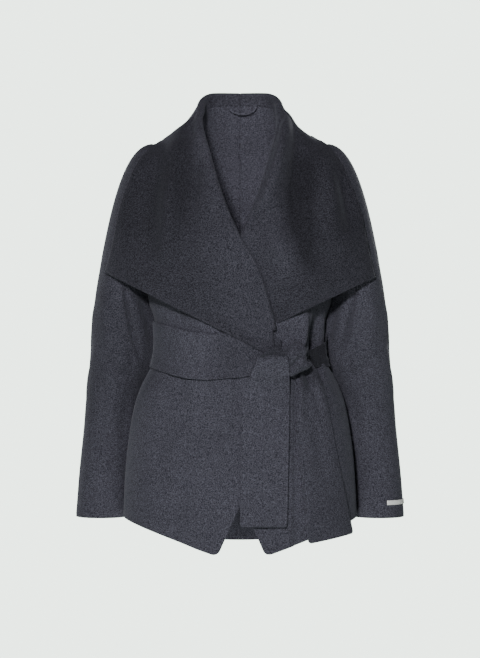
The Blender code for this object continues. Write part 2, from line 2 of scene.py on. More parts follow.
# # A wrap coat of double-faced wool
#
# The coat is cut from one heavy wool cloth with two good sides and no lining. Each front runs on into
# a wide draped lapel and half of the collar, so the whole shawl collar has one seam, at the back of the
# neck. A belt of the same cloth is tied on the wearer's left, and its two ends hang down.
#
# Cloth could be simulated, but a wool this heavy keeps a few large, calm folds that a maker can name. So
# every piece is a fine grid laid on the coat's own form, with its creases given one by one, in millimetres.

# %% Start from the imported frame
import json
from math import pi, radians
import bpy
import numpy as np
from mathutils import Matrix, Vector

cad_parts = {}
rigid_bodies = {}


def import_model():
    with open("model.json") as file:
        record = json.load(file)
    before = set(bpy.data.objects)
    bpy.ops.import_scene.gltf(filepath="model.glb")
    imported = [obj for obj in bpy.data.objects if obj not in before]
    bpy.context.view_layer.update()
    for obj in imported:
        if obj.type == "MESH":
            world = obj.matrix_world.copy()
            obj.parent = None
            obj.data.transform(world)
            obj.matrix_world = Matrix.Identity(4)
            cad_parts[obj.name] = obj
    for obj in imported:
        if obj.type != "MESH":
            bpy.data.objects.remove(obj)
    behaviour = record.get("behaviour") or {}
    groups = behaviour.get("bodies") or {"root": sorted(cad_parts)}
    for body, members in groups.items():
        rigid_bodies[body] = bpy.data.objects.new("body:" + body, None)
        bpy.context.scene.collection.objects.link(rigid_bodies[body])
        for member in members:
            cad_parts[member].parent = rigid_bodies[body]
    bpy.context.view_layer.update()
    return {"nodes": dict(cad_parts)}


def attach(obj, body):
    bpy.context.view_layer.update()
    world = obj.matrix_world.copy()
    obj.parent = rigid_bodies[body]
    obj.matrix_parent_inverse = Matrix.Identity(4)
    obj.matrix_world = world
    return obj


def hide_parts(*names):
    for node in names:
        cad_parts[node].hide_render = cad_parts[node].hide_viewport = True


for old in list(bpy.data.objects):
    bpy.data.objects.remove(old, do_unlink=True)
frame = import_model()
MM = 0.001
print("nodes:", ", ".join(sorted(frame["nodes"])))

# %% [markdown]
# ## Reading short tables smoothly
#
# A pattern maker writes a garment down as a short table: at this height the body is this wide. Straight
# lines between the rows would leave facets, and an ordinary spline would swing past the numbers. This
# reader bends smoothly and never overshoots.

# %% Tables and small helpers
class Table:
    def __init__(self, columns, rows):
        self.names = columns.split()
        self.rows = np.array(rows, float)

    def at(self, name, where):
        place = self.rows[:, 0]
        value = self.rows[:, self.names.index(name)]
        step = np.diff(place)
        rise = np.diff(value) / step
        slope = np.concatenate([rise[:1], np.zeros(len(rise) - 1), rise[-1:]])
        both = rise[:-1] * rise[1:]
        safe = np.where(both > 0, rise[:-1] + rise[1:], 1.0)
        slope[1:-1] = np.where(both > 0, 2 * both / safe, 0.0)
        k = np.clip(np.searchsorted(place, where) - 1, 0, len(step) - 1)
        t = np.clip((where - place[k]) / step[k], 0, 1)
        start = value[k] * (1 + 2 * t) * (1 - t) ** 2 + slope[k] * step[k] * t * (1 - t) ** 2
        end = value[k + 1] * t * t * (3 - 2 * t) - slope[k + 1] * step[k] * t * t * (1 - t)
        return start + end

    def each(self, names, where):
        return np.array([self.at(name, where) for name in names.split()])


def smooth(t):
    """Ease from 0 to 1."""
    t = np.clip(t, 0.0, 1.0)
    return t * t * (3 - 2 * t)


def ramp(value, start, end):
    """Ease from 0 where the value is at start to 1 where it is at end."""
    return smooth((value - start) / (end - start))


def mix(a, b, t):
    return a + (b - a) * t


def place(x, y, z):
    """One array of points from three of coordinates."""
    return np.stack(np.broadcast_arrays(x, y, z), axis=-1).astype(float)


def unit(vectors):
    size = np.linalg.norm(vectors, axis=-1, keepdims=True)
    return vectors / np.where(size > 0, size, 1)


def bezier(a, b, c, d, t):
    return a * (1 - t) ** 3 + 3 * b * t * (1 - t) ** 2 + 3 * c * t * t * (1 - t) + d * t ** 3


def bowed(a, b, pulls, t):
    """A curve from a to b, pulled off the straight line at one third and at two thirds of it."""
    first, second = pulls
    return bezier(a, mix(a, b, 1 / 3) + first, mix(a, b, 2 / 3) + second, b, t)


def put(name, data, at=(0, 0, 0)):
    """A new object in the scene."""
    thing = bpy.data.objects.new(name, data)
    thing.location = at
    bpy.context.collection.objects.link(thing)
    return thing


# %% [markdown]
# ## The body form
#
# On a real coat this is the tailor's dummy. It is a stack of rings, wider than they are deep and a little
# squarer than ellipses, and it closes to a ridge along the shoulders. The front faces -Y and the origin
# lies between the two neck points. Each half is drawn once with x counted towards its own side.

# %% Body rings and shoulder ridges
RIGHT, LEFT = -1, 1
SIDES = {RIGHT: "right", LEFT: "left"}
FRONT, BACK = -1, 1
RADII = {FRONT: "half front", BACK: "half back"}
SQUARENESS, SHOULDER_ROUND = 2.4, 45.0
RING_POWER = 2 / SQUARENESS

BODY = Table("z half front back", [
    (-725, 193, 124, 132), (-655, 191, 122, 130), (-575, 187, 118, 126), (-515, 180, 114, 122),
    (-470, 171, 111, 118), (-445, 162, 109, 114), (-425, 152, 107, 109), (-405, 142, 105, 104),
    (-375, 137.5, 104, 100), (-335, 139.5, 106, 99), (-300, 150, 113, 102), (-255, 151, 121, 108),
    (-215, 154, 124, 112), (-150, 160, 110, 114), (-100, 162, 86, 110), (-60, 160, 66, 100),
    (-30, 152, 47, 88), (0, 140, 34, 76), (50, 130, 24, 62)])
SHOULDER = Table("x z", [
    (0, 75), (35, 50), (52, 20), (64, -2), (90, -24), (115, -38), (129, -42.6), (143, -45.5), (165, -50)])
OVER_SHOULDER = Table("x z", [
    (0, 95), (45, 60), (60, 30), (68, 18), (76, 3), (100, -17), (129, -39), (150, -44), (168, -53),
    (186, -77), (198, -102), (208, -137), (236, -280)])


def ridge_closing(x, z, ridge):
    below = np.clip((ridge.at("z", np.abs(x)) - z) / SHOULDER_ROUND, 0.0, 1.0)
    return np.sqrt(1 - (1 - below) ** 2)


def body_depth(x, z, facing, out=0.0, ridge=SHOULDER):
    """How far the body form reaches to the front or the back at (x, z)."""
    half, reach = BODY.each(RADII[facing], z)
    across = np.minimum(np.abs(x) / (half + out), 1.0)
    return (reach + out) * (1 - across ** SQUARENESS) ** (1 / SQUARENESS) * ridge_closing(x, z, ridge)


def body_point(angle, z, facing, out=0.0):
    """A point on the body's ring, by its angle from the front or back centre."""
    half, reach = BODY.each(RADII[facing], z)
    across, along = np.sin(angle), np.abs(np.cos(angle))
    x = (half + out) * np.abs(across) ** RING_POWER * np.sign(across)
    return place(x, facing * (reach + out) * along ** RING_POWER * ridge_closing(x, z, SHOULDER), z)


def ring_angle(x, z):
    across = np.minimum(np.abs(x) / BODY.at("half", z), 1.0)
    return np.arcsin(across ** (SQUARENESS / 2)) * np.where(x >= 0, 1, -1)


# %% [markdown]
# ## From a grid to a piece of cloth
#
# A piece of cloth is a middle surface with a wall on both sides. Solidify would make that wall equally
# thick everywhere. Built from the grid's own normals, it can be pinched where stitches pull it in and
# thinned at a rim, where close grid lines carry the shape. Creases move the surface before that.

# %% Grids, rims and walls
CLOTH_WALL = 2.4
RIM_STEPS = (0.9, 2.0, 2.9, 3.5, 4.6)
RIM_WALL = ((0, *RIM_STEPS), (0.60, 0.95, 1.0, 0.66, 0.70, 1.0))
SEAM_WALL = ((0, 1.0, 2.4), (0.3, 0.72, 1.0))
GRID_STEP = 3.4
PIECES = {}


def stops(length, step, rims=(True, True)):
    """Places from 0 to 1 along a length, about a step apart, with close ones near each rim."""
    near = [0.0, *(r / length for r in RIM_STEPS)]
    low = near if rims[0] else [0.0]
    high = [1 - p for p in (near if rims[1] else [0.0])][::-1]
    count = max(2, round((high[0] - low[-1]) * length / step))
    return np.array([*low, *np.linspace(low[-1], high[0], count + 1)[1:-1], *high])


def run_length(grid, axis):
    """How far along its row or column each grid point lies."""
    step = np.linalg.norm(np.diff(grid, axis=axis), axis=-1)
    first = np.zeros_like(np.take(step, [0], axis=axis))
    return np.cumsum(np.concatenate([first, step], axis=axis), axis=axis)


def edge_gaps(grid):
    """Distances of each point from the grid's first and last row, then first and last column."""
    up, across = run_length(grid, 0), run_length(grid, 1)
    return up, up[-1:] - up, across, across[:, -1:] - across


def index_of(values, value):
    return int(np.searchsorted(values, value - 1e-6))


def seen(grid, side=LEFT):
    """Where each point lies across and up, as seen from the front."""
    return grid[..., [0, 2]] * (side, 1)


def round_corner(grid, up, along, radius, towards):
    """Draw one corner in to an arc. up and along are the distances from its two edges."""
    a, b = np.clip(1 - up / radius, 0, 1), np.clip(1 - along / radius, 0, 1)
    upwards, inwards = unit(np.gradient(grid, axis=0)), unit(towards * np.gradient(grid, axis=1))
    return grid + radius * ((a * (1 - np.sqrt(1 - b * b / 2)))[..., None] * upwards
                            + (b * (1 - np.sqrt(1 - a * a / 2)))[..., None] * inwards)


# %% Faces, normals and cloth
def quads(shape, keep=None, closed=False):
    """Four-sided faces of a grid as rows of corner numbers."""
    rows, wide = shape
    j, k = np.meshgrid(np.arange(rows - 1), np.arange(wide if closed else wide - 1), indexing="ij")
    right, low, high = (k + 1) % wide, j * wide, (j + 1) * wide
    faces = np.stack([low + k, low + right, high + right, high + k], axis=-1)
    return faces[keep] if keep is not None else faces.reshape(-1, 4)


def diagonal_cross(points, faces):
    """A vector along each face's normal, twice as long as the face is large."""
    a, b, c, d = (points[faces[:, n]] for n in range(4))
    return np.cross(c - a, d - b)


def normals_of(points, faces):
    flat = diagonal_cross(points, faces)
    total = np.zeros_like(points)
    for n in range(4):
        np.add.at(total, faces[:, n], flat)
    return unit(total)


def cloth(name, grid, side, keep=None, closed=False, relief=0.0, wall=CLOTH_WALL, pinch=1.0, painted_shade=0.0):
    """A piece of cloth from a grid in millimetres, with its creases, its wall and the painted shade it
    carries.
    """
    def spread(value):
        return np.broadcast_to(value, grid.shape[:2]).reshape(-1, 1)

    faces = quads(grid.shape[:2], keep, closed)
    points = grid.reshape(-1, 3) * (side, 1, 1)
    if side == RIGHT:
        faces = faces[:, ::-1]
    bent = points + normals_of(points, faces) * spread(relief)
    half = normals_of(bent, faces) * spread(wall * pinch / 2)
    used, compact = np.unique(faces, return_inverse=True)
    faces = compact.reshape(-1, 4)
    outer, inner = (bent + half)[used], (bent - half)[used]
    edges = np.concatenate([faces[:, [n, (n + 1) % 4]] for n in range(4)])
    # A rim edge is one that no second face runs along the other way.
    rim = edges[~np.isin(edges @ (len(used), 1), edges @ (1, len(used)))]
    band = np.concatenate([rim[:, ::-1], rim + len(used)], axis=1)
    mesh = bpy.data.meshes.new("coat_" + name)
    everything = np.concatenate([faces, faces[:, ::-1] + len(used), band])
    mesh.from_pydata((np.concatenate([outer, inner]) * MM).tolist(), [], everything.tolist())
    mesh.shade_smooth()
    painted_shade_attribute = mesh.attributes.new("painted_shade", "FLOAT", "POINT")
    painted_shade_attribute.data.foreach_set("value", np.tile(spread(painted_shade)[used, 0], 2))
    PIECES[name] = put(mesh.name, mesh)
    area = np.linalg.norm(diagonal_cross(bent[used], faces), axis=1).sum() / 2 * MM * MM
    print("%-14s %6d faces, %.4f square metres" % (name, len(everything), area))


# %% [markdown]
# ## Creases, one by one
#
# A fold in heavy wool is a soft trough or ridge that dies away at both ends, with a low lip on each side
# where the cloth that left the trough went. A crease is a short bent line on the piece with a depth and a
# width. The line is given where it lies across (x) and up (z), as a dresser would point at it.

# %% One crease on many points
def bent_line(path, count=28):
    """The path with its corners rounded."""
    path = np.array(path, float)
    ends = np.concatenate([2 * path[:1] - path[1:2], path, 2 * path[-1:] - path[-2:-1]])
    where = np.linspace(0, len(path) - 1 - 1e-9, count)
    k, t = where.astype(int), (where % 1)[:, None]
    a, b, c, d = ends[k], ends[k + 1], ends[k + 2], ends[k + 3]
    bend = (2 * a - 5 * b + 4 * c - d) * t ** 2 + (3 * b - 3 * c + d - a) * t ** 3
    return b + 0.5 * ((c - a) * t + bend)


def crease(at, path, depth, width, lip=0.3):
    """Height of one crease at points given as (..., 2)."""
    line = bent_line(path)
    best = np.full(at.shape[:-1], 1e9)
    along = np.zeros(at.shape[:-1])
    for n in range(len(line) - 1):
        run = line[n + 1] - line[n]
        t = np.clip(((at - line[n]) @ run) / (run @ run), 0, 1)
        gap = np.linalg.norm(at - line[n] - t[..., None] * run, axis=-1)
        along = np.where(gap < best, (n + t) / (len(line) - 1), along)
        best = np.minimum(gap, best)
    fade = np.sin(pi * along) ** 0.8
    lips = np.exp(-((best - 2.0 * width) / width) ** 2)
    return depth * fade * (np.exp(-(best / width) ** 2) - lip * lips)


def creases(at, table):
    return sum(crease(at, path, depth, width) for path, depth, width in table)


# %% [markdown]
# ## Front, lapel and half collar
#
# Each front is one cut piece: from the side seam it runs to the front edge, and above the waist it rolls
# back there into the lapel, which goes on round the neck as half of the collar. So it is one grid too. Its
# rows go up the coat: 0 is the hem, 5 and 6 the lapel's lower corner, 15 the shoulder seam and 20 the
# back of the neck. Its columns go across: body, stand, roll, and then the fall, which is the lapel.

# %% Tables of the fronts
FRONT_ROWS = Table("row side_x side_z edge_x edge_z outer_x outer_z", [
    (0, 999, -657, 35, -710.5, 221, -257), (1, 999, -602, 2, -636, 221, -257),
    (2, 999, -535, -32, -568, 221, -257), (3, 999, -470, -54, -496, 221, -257),
    (4, 999, -416, -62, -432, 221, -257), (5, 999, -375, -61, -396, 220, -257.5),
    (6, 999, -332, -57, -352, 214, -239), (7, 999, -300, -45, -303, 209, -222),
    (8, 999, -262, -29, -254, 205, -205), (9, 999, -232, 1.5, -200, 201, -188),
    (10, 154, -213, 23.3, -150, 197, -168), (11, 146, -182, 37.5, -106, 191, -145),
    (12, 138, -135, 49, -66, 180, -113), (13, 140, -98, 58, -32, 167, -83),
    (14, 142, -68, 63, -2, 151, -59), (15, 143, -45.5, 65, 21, 131, -39.5)])
BACK_ROWS = Table("row centre_z", [
    (0, -712), (1, -641), (3, -480), (5, -380), (8, -255), (10, -165), (13, -45), (15, 24)])
COLLAR_ROWS = Table("row crest_x crest_y crest_z outer_x outer_z seam_x seam_y seam_z flare", [
    (15, 65, 8, 21, 131, -39.5, 64, 0, -2, 0), (16, 63.5, 26, 30, 124, -41, 62.5, 18, 7, 0.3),
    (17, 57, 43, 40, 103, -46, 55, 36, 16, 0.7), (18, 44, 55, 45, 74, -52, 42, 48, 21.5, 1),
    (19, 23, 62, 46, 38, -59, 22.5, 56.5, 24, 1), (20, 0, 64, 46, 0, -62, 0, 60, 24.5, 1)])
NECK_CREST = Table("row y", [(12, -76), (13, -51), (14, -21), (14.7, -1), (15, 8)])
# How far a front's body and lapel stand off the body form, and the radius of its roll. Right lies on left.
LAYERS = {
    RIGHT: Table("row body lapel roll", [
        (0, 5, 15, 2.5), (3, 6, 19, 2.5), (4, 9.5, 20, 4.5), (6, 10, 19.5, 4.6), (8, 7.6, 11.4, 1.9),
        (9.5, 7.6, 11.4, 1.9), (10.4, 4, 17, 5), (12.5, 2.3, 20, 5.5), (15, 0, 15, 6)]),
    LEFT: Table("row body lapel roll", [
        (0, 0, 5, 2.3), (8, 0, 5, 2.3), (9.5, 0.2, 5.2, 2.4), (10.4, 3, 17, 5), (12.5, 1.6, 20, 5.5),
        (15, 0, 15, 6)]),
}
# The long dip in a lapel beside its roll: where it lies across the fall, and how deep it is.
VALLEY = {
    RIGHT: Table("row across depth", [
        (5, 0.42, 0), (9, 0.42, 0), (12, 0.36, 4), (14, 0.24, 4), (15, 0.2, 0), (20, 0.2, 0)]),
    LEFT: Table("row across depth", [
        (5, 0.46, 0), (8, 0.46, 2), (11, 0.40, 4), (14, 0.26, 3), (15, 0.2, 0), (20, 0.2, 0)]),
}
VALLEY_WIDTH = 0.13
SEAM_ROW, NECK_ROW, LAPEL_ROW, BREAK_ROW = 15, 20, 5, 6
NECK_F, NECK_HALF = 0.8, 64.0
SEAM = "seam_x seam_y seam_z"
SETTLE_ROWS, TURN_ROWS = (11.5, 15), (11, 15)
CHEST_AND_SLEEVE, SPREAD, CHEST_Z = 228, 0.10, -203
OVERLAP_ENDS = (98, 56)
LEFT_CORNER_OUT = 6.0


# %% Forms of the fronts
def side_end(row):
    """Ring angle and height of a row's outer end: the side seam up to row 10, then the armhole."""
    x, z = FRONT_ROWS.each("side_x side_z", row)
    return np.where(row > 10, ring_angle(x, z), pi / 2), z


def lapel_y(x, z, lift, free=1.0):
    """Front of what a lapel lies on: near its roll the body, and further out chest and sleeve together."""
    wide = CHEST_AND_SLEEVE - SPREAD * (z - CHEST_Z)
    across = np.minimum(np.abs(x) / wide, 1.0)
    draped = (BODY.at("front", z) + lift) * np.sqrt(1 - across ** 2) * ridge_closing(x, z, OVER_SHOULDER)
    return -mix(body_depth(x, z, FRONT, lift, OVER_SHOULDER), draped, free)


def front_body_point(f, row, side):
    """f runs from the side seam or armhole (0) to the front edge (1)."""
    side_angle, side_z = side_end(row)
    edge_x, edge_z = FRONT_ROWS.each("edge_x edge_z", row)
    if side == LEFT:
        edge_x = edge_x + LEFT_CORNER_OUT * ramp(row, 2, 0)
    angle = mix(side_angle, ring_angle(edge_x, edge_z), f)
    z = mix(side_z, edge_z, f ** 2)
    rough = body_point(angle, z, FRONT)
    out = LAYERS[side].at("body", row) * ramp(rough[..., 0], *OVERLAP_ENDS)
    return body_point(angle, z, FRONT, out)


def shoulder_seam_point(f):
    x = mix(FRONT_ROWS.at("side_x", SEAM_ROW), NECK_HALF, np.minimum(f / NECK_F, 1))
    return place(x, 0.0, SHOULDER.at("z", x))


def roll_frame(row, side):
    """Crest of the roll, the directions across the fall and out of the body, and the roll's radius."""
    radius = LAYERS[side].at("roll", row)
    x, z = FRONT_ROWS.each("edge_x edge_z", row)
    y = lapel_y(x + radius, z, LAYERS[side].at("lapel", row), 0.0) + radius
    low = place(x, mix(y, NECK_CREST.at("y", row), ramp(row, 12, 13)), z)
    high = place(*COLLAR_ROWS.each("crest_x crest_y crest_z", row))
    crest = np.where((row > SEAM_ROW)[..., None], high, low)
    upright = (ramp(row, *TURN_ROWS) * ramp(row, 13, 15))[..., None]
    heading = np.clip((row - SEAM_ROW) / (NECK_ROW - SEAM_ROW), 0, 1) * pi / 2
    sideways = place(np.cos(heading), np.sin(heading), 0.0)
    across, out = mix(sideways, place(0, 0, -1), upright), mix(place(0, -1, 0), sideways, upright)
    return crest, unit(across), unit(out), radius[..., None]


def roll_under(row, side):
    crest, across, out, radius = roll_frame(row, side)
    return crest + radius * (across - out)


# %% The fall of a front
TUCK = np.array([(-17, 0, -2), (-10, 0, 1)])
COLLAR_BOW, COLLAR_LIFT = ((10, 6), (6, 4)), 9
LEFT_LIFT, LEFT_DROP = (11.0, 15.0), 8
DIP_DIRECTION = place(0, 0.944, -0.330)


def crest_of_right(z):
    """Where the roll of the right lapel lies, seen from the left front."""
    rows = FRONT_ROWS.rows[5:11]
    return -np.interp(z, rows[:, 4], rows[:, 3])


def fall_point(v, row, side):
    """The lapel and collar fall, from the roll (0) to the outer edge (1)."""
    crest, across, out, radius = roll_frame(row, side)
    start = crest + radius * (across + out)
    lift = LAYERS[side].at("lapel", row)
    outer_x, outer_z = FRONT_ROWS.each("outer_x outer_z", row)
    if side == LEFT:
        outer_z = outer_z - LEFT_DROP * ramp(row, 8, 5)
    tuck = ramp(row, *TURN_ROWS)[..., None]
    near, far = start[..., [0, 2]], np.stack(np.broadcast_arrays(outer_x, outer_z), axis=-1)
    flat = bowed(near, far, [pull[[0, 2]] * tuck for pull in TUCK], v[..., None])
    x, z = flat[..., 0], flat[..., 1]
    free = ramp(v, 0, 0.5)
    if side == LEFT:
        # Under the right front the left lapel lies flat, and past that front's edge it stands out.
        past = x - crest_of_right(z) - 1
        lift = mix(lift, mix(*LEFT_LIFT, ramp(past, 0, 60)), ramp(past, 0, 6))
        free = np.minimum(free, ramp(past, 0, 60))
    start_gap = start[..., 1] - lapel_y(near[..., 0], near[..., 1], lift, 0.0)
    low = place(x, lapel_y(x, z, lift, free) + start_gap * (1 - v) ** 3, z)
    outer_x, outer_z = COLLAR_ROWS.each("outer_x outer_z", row)
    flare = COLLAR_ROWS.at("flare", row)[..., None]
    end = place(outer_x, body_depth(outer_x, outer_z, BACK, COLLAR_LIFT, OVER_SHOULDER), outer_z)
    high = bowed(start, end, [mix(pull, out * outwards + (0, 0, up), flare)
                              for pull, (outwards, up) in zip(TUCK, COLLAR_BOW)], v[..., None])
    behind = (row > SEAM_ROW)[..., None]
    inwards = np.where(behind, -out, DIP_DIRECTION)
    depth, middle = VALLEY[side].each("depth across", row)
    dip = depth * np.exp(-((v - middle) / VALLEY_WIDTH) ** 2)
    return np.where(behind, high, low) + dip[..., None] * inwards


# %% Grid of a front
BODY_LENGTH, STAND_LENGTH, FALL_LENGTH = 230.0, 34.0, 185.0
FRONT_WIDTH, HEM_ROW, LAPEL_EDGE_ROW = 260, 55.0, 24.0
ROLL_LINES = 7


def front_rows():
    """Rows of the grid, about 3.4 mm apart, with close ones at the hem, the lapel's edge and the seams."""
    hem = [r / HEM_ROW for r in (0.0, *RIM_STEPS)]
    lapel = [LAPEL_ROW + r / LAPEL_EDGE_ROW for r in (0.0, *RIM_STEPS)]
    low = np.arange(1, 5 * 16) / 16
    middle = np.arange(5 * 14 + 1, 15 * 14) / 14
    high = SEAM_ROW + np.arange(0, 5 * 8 + 1) / 8
    close = [14.97, 15.03, 19.93, 19.97]
    rows = np.unique(np.round(np.concatenate([hem, low, lapel, [BREAK_ROW], middle, high, close]), 4))
    keep = np.ones(len(rows), bool)
    for special in (hem, lapel):
        lo, hi = special[0], special[-1]
        keep &= ~((rows > lo) & (rows < hi + 0.02)) | np.isin(rows, np.round(special, 4))
    return rows[keep]


def front_grid(side):
    rows = front_rows()
    body = stops(BODY_LENGTH, GRID_STEP, (True, False)) * NECK_F
    stand = NECK_F + stops(STAND_LENGTH, 2.6, (False, False))[1:] * (1 - NECK_F)
    edge = 1 - np.array(RIM_STEPS[::-1]) / FRONT_WIDTH
    f = np.unique(np.concatenate([body, stand[stand < edge[0] - 0.004], edge, [1.0]]))
    v = stops(FALL_LENGTH, 3.2, (False, True))
    f2, row = np.meshgrid(f, rows)
    last, body_row = np.full_like(row, SEAM_ROW), np.minimum(row, SEAM_ROW)
    under, top_under = roll_under(np.clip(row, BREAK_ROW, NECK_ROW), side), roll_under(last, side)
    seam_t = np.clip((f2 - NECK_F) / (1 - NECK_F), 0, 1)[..., None]
    settle = ramp(row, *SETTLE_ROWS)[..., None]

    def settled(f, top):
        return front_body_point(f, body_row, side) + (top - front_body_point(f, last, side)) * settle

    top = mix(shoulder_seam_point(f2), top_under, seam_t)
    to_roll = (under - settled(np.ones_like(f2), top_under)) * ramp(f2, 0.55, 1)[..., None]
    blend = ramp(row, LAPEL_ROW, BREAK_ROW)[..., None]
    point = mix(front_body_point(f2, body_row, side), settled(f2, top) + to_roll, blend)
    neck = mix(place(*COLLAR_ROWS.each(SEAM, row)), under, seam_t)
    body_part = np.where((row > SEAM_ROW)[..., None], neck, point)
    turn, row_r = np.meshgrid(pi * np.arange(1, ROLL_LINES + 1) / (ROLL_LINES + 1), rows)
    crest, across, out, radius = roll_frame(np.clip(row_r, BREAK_ROW, NECK_ROW), side)
    bend = crest + radius * across * (1 - np.sin(turn))[..., None] - radius * out * np.cos(turn)[..., None]
    v2, row_v = np.meshgrid(v, np.maximum(rows, LAPEL_ROW))
    fall = fall_point(v2, row_v, side)
    grid = np.concatenate([body_part, bend, fall], axis=1)
    j, k = rows[:-1, None], np.arange(grid.shape[1] - 1)
    inner, neck_k = len(f) - 1, index_of(f, NECK_F)
    lowest = np.where(k < inner, 0, np.where(k <= inner + ROLL_LINES, BREAK_ROW, LAPEL_ROW))
    keep = (j >= lowest) & ((k >= neck_k) | (j < SEAM_ROW))
    return grid, keep, rows, inner, neck_k


# %% [markdown]
# The wall of a front is pinched along every free edge, 3 mm in, where the edge is turned and stitched, and
# thinned at the seams, so that two pieces meet in a fine groove.

# %% Wall of a front
def front_pinch(grid, rows, inner, neck_k):
    up, to_top, across, to_edge = edge_gaps(grid)
    k, r = np.arange(grid.shape[1]), rows[:, None]
    body, collar = k <= inner, r > SEAM_ROW
    hem = (body, up)
    front_edge = (body & (r < BREAK_ROW), across[:, [inner]] - across)
    outer = (~body, to_edge)
    lower = ((k > inner + ROLL_LINES) & (r >= LAPEL_ROW), up - up[[index_of(rows, LAPEL_ROW)]])
    side = (~collar, across)
    top = ((k <= neck_k) & ~collar, up[[index_of(rows, SEAM_ROW)]] - up)
    neck = ((k >= neck_k) & (r >= SEAM_ROW), across - across[:, [neck_k]])
    centre = (collar, to_top)
    wall = np.ones(grid.shape[:2])
    for edges, profile in (((hem, front_edge, outer, lower), RIM_WALL),
                           ((side, top, neck, centre), SEAM_WALL)):
        for there, gap in edges:
            wall = np.where(there, np.minimum(wall, np.interp(np.abs(gap), *profile)), wall)
    return wall


# %% [markdown]
# The lapels hang from the roll line at the neck, so their folds start there and open downwards. Below the
# belt the skirt springs out in a few shallow flutes, and beside the knot the left front is pushed into two
# flat folds with a hollow next to them.

# %% Creases of the fronts
LAPEL_CREASES = {
    RIGHT: [
        ([(-72, -28), (-73, -80), (-76, -130), (-84, -185)], -6, 13),
        ([(-94, -36), (-103, -90), (-110, -145), (-114, -215), (-120, -250)], 16, 16),
        ([(0, -350), (10, -357), (22, -364), (34, -374)], -3.5, 4),
        ([(-142, -70), (-152, -125), (-162, -200), (-168, -235)], -2.5, 12),
        ([(-74, -5), (-78, -31), (-82, -62)], -3.2, 5),
        ([(-50, -190), (-52, -235), (-40, -280)], 4, 20)],
    LEFT: [
        ([(76, 14), (72, -16), (66, -50), (56, -92), (43, -135), (26, -176)], 13, 14),
        ([(104, -20), (101, -70), (94, -118), (86, -160), (82, -200)], -7, 18),
        ([(132, -62), (140, -110), (144, -160), (142, -205)], 9, 17),
        ([(158, -95), (172, -143), (182, -199)], -6, 11),
        ([(44, -205), (64, -222), (90, -236)], 6, 17),
        ([(100, -225), (120, -240), (150, -235)], -3.5, 12)],
}
BODY_CREASES = {
    RIGHT: [
        ([(-8, -412), (-5, -445), (-4, -475), (-6, -520)], -5.5, 7),
        ([(-55, -428), (-57, -460), (-62, -512)], -4, 10),
        ([(-110, -440), (-122, -520), (-128, -600)], -2.5, 14),
        ([(-150, -300), (-120, -318), (-80, -330)], -2, 7)],
    LEFT: [
        ([(120, -440), (128, -520), (134, -600)], -2.5, 13),
        ([(60, -440), (58, -490), (50, -560)], -2, 10),
        ([(140, -300), (112, -318), (96, -332)], -2, 6)],
}
EDGE_SLOPE, EDGE_X = 0.345, 52
KNOT_FOLD = Table("z right height", [
    (-402, 86, 4), (-390, 92, 15), (-378, 97, 13), (-362, 102, 9), (-345, 105, 8), (-333, 106.5, 4),
    (-324, 107.5, 0), (-300, 107.5, 0)])
KNOT_FOLD_SIDE = Table("z right height", [
    (-375, 108, 0), (-360, 118, 3.5), (-350, 128, 4.5), (-338, 132, 3), (-326, 133, 0)])
KNOT_HOLLOW = [([(126, -298), (126, -340), (124, -392), (122, -440)], -17.0, 12)]
HOLLOW_ENDS, FOLD_SOFT = (137.5, 132.5), 4.5


def fold_step(flat, table, left):
    """A flat fold: raised as far as its right edge, where it drops within a few millimetres."""
    x, z = flat[..., 0], flat[..., 1]
    height = table.at("height", z - EDGE_SLOPE * (x - EDGE_X))
    return height * smooth((table.at("right", z) - x) / FOLD_SOFT) * ramp(x, left, left + 25)


def front_relief(grid, side, inner):
    flat, k = seen(grid, side), np.arange(grid.shape[1])
    body = creases(flat, BODY_CREASES[side])
    if side == LEFT:
        body = (body + fold_step(flat, KNOT_FOLD, 30) + fold_step(flat, KNOT_FOLD_SIDE, 95)
                + creases(flat, KNOT_HOLLOW) * ramp(flat[..., 0], *HOLLOW_ENDS))
    lapel = creases(flat, LAPEL_CREASES[side]) * ramp(k - inner - ROLL_LINES, 0, 3)
    return lapel - np.where(k < inner, body, 0.0)


# %% [markdown]
# Shade is painted into the cloth's colour. The painted shade is deepest on the lapels, growing from the
# roll to the outer edge, and on the belt's end beside the knot. The collar's stand, the knot, the tops of
# the tails, the belt where it runs into the knot from the front and the right sleeve's upper part get a
# lighter painted shade, and a few marks paint bands on the lapels lighter or darker. Each point carries
# the painted shade as a number for the material to read: 0 is plain and 1 is darkest.

# %% Painted shade of the fronts
# Painted shade on the collar's stand, and on the lapels, growing from the roll to the outer edge.
STAND_PAINTED_SHADE = 0.35
LAPEL_PAINTED_SHADE = Table("row roll outer start over", [
    (5, 0.3, 0.62, 60, 110), (8, 0.38, 0.72, 40, 110), (10, 0.42, 0.88, 10, 80), (12, 0.4, 0.82, 0, 50),
    (14, 0.25, 0.68, 0, 60), (15.5, 0.12, 0.58, 0, 60), (18, 0.1, 0.35, 0, 60), (20, 0.1, 0.35, 0, 60)])
# Bands of painted shade on the lapels: a positive depth paints a band darker, a negative one lighter.
PAINTED_SHADE_MARKS = {
    RIGHT: [([(-60, -25), (-62, -60), (-58, -90)], -0.2, 14)],
    LEFT: [
        ([(108, -60), (101, -100), (96, -150), (98, -200), (112, -262)], 0.5, 18),
        ([(60, -205), (72, -240), (70, -285)], -0.25, 20)],
}


def front_painted_shade(grid, rows, inner):
    """Painted shade on a front: none on the body below the collar, some on the collar's stand, and growing
    from the roll to the lapel's edge.
    """
    across = run_length(grid, 1)
    past = across - across[:, [inner]]
    roll, outer, start, over = LAPEL_PAINTED_SHADE.each("roll outer start over", rows[:, None])
    body = np.where(rows > SEAM_ROW, STAND_PAINTED_SHADE, 0.0)[:, None]
    return np.where(past > 0, mix(roll, outer, smooth((past - start) / over)), body)


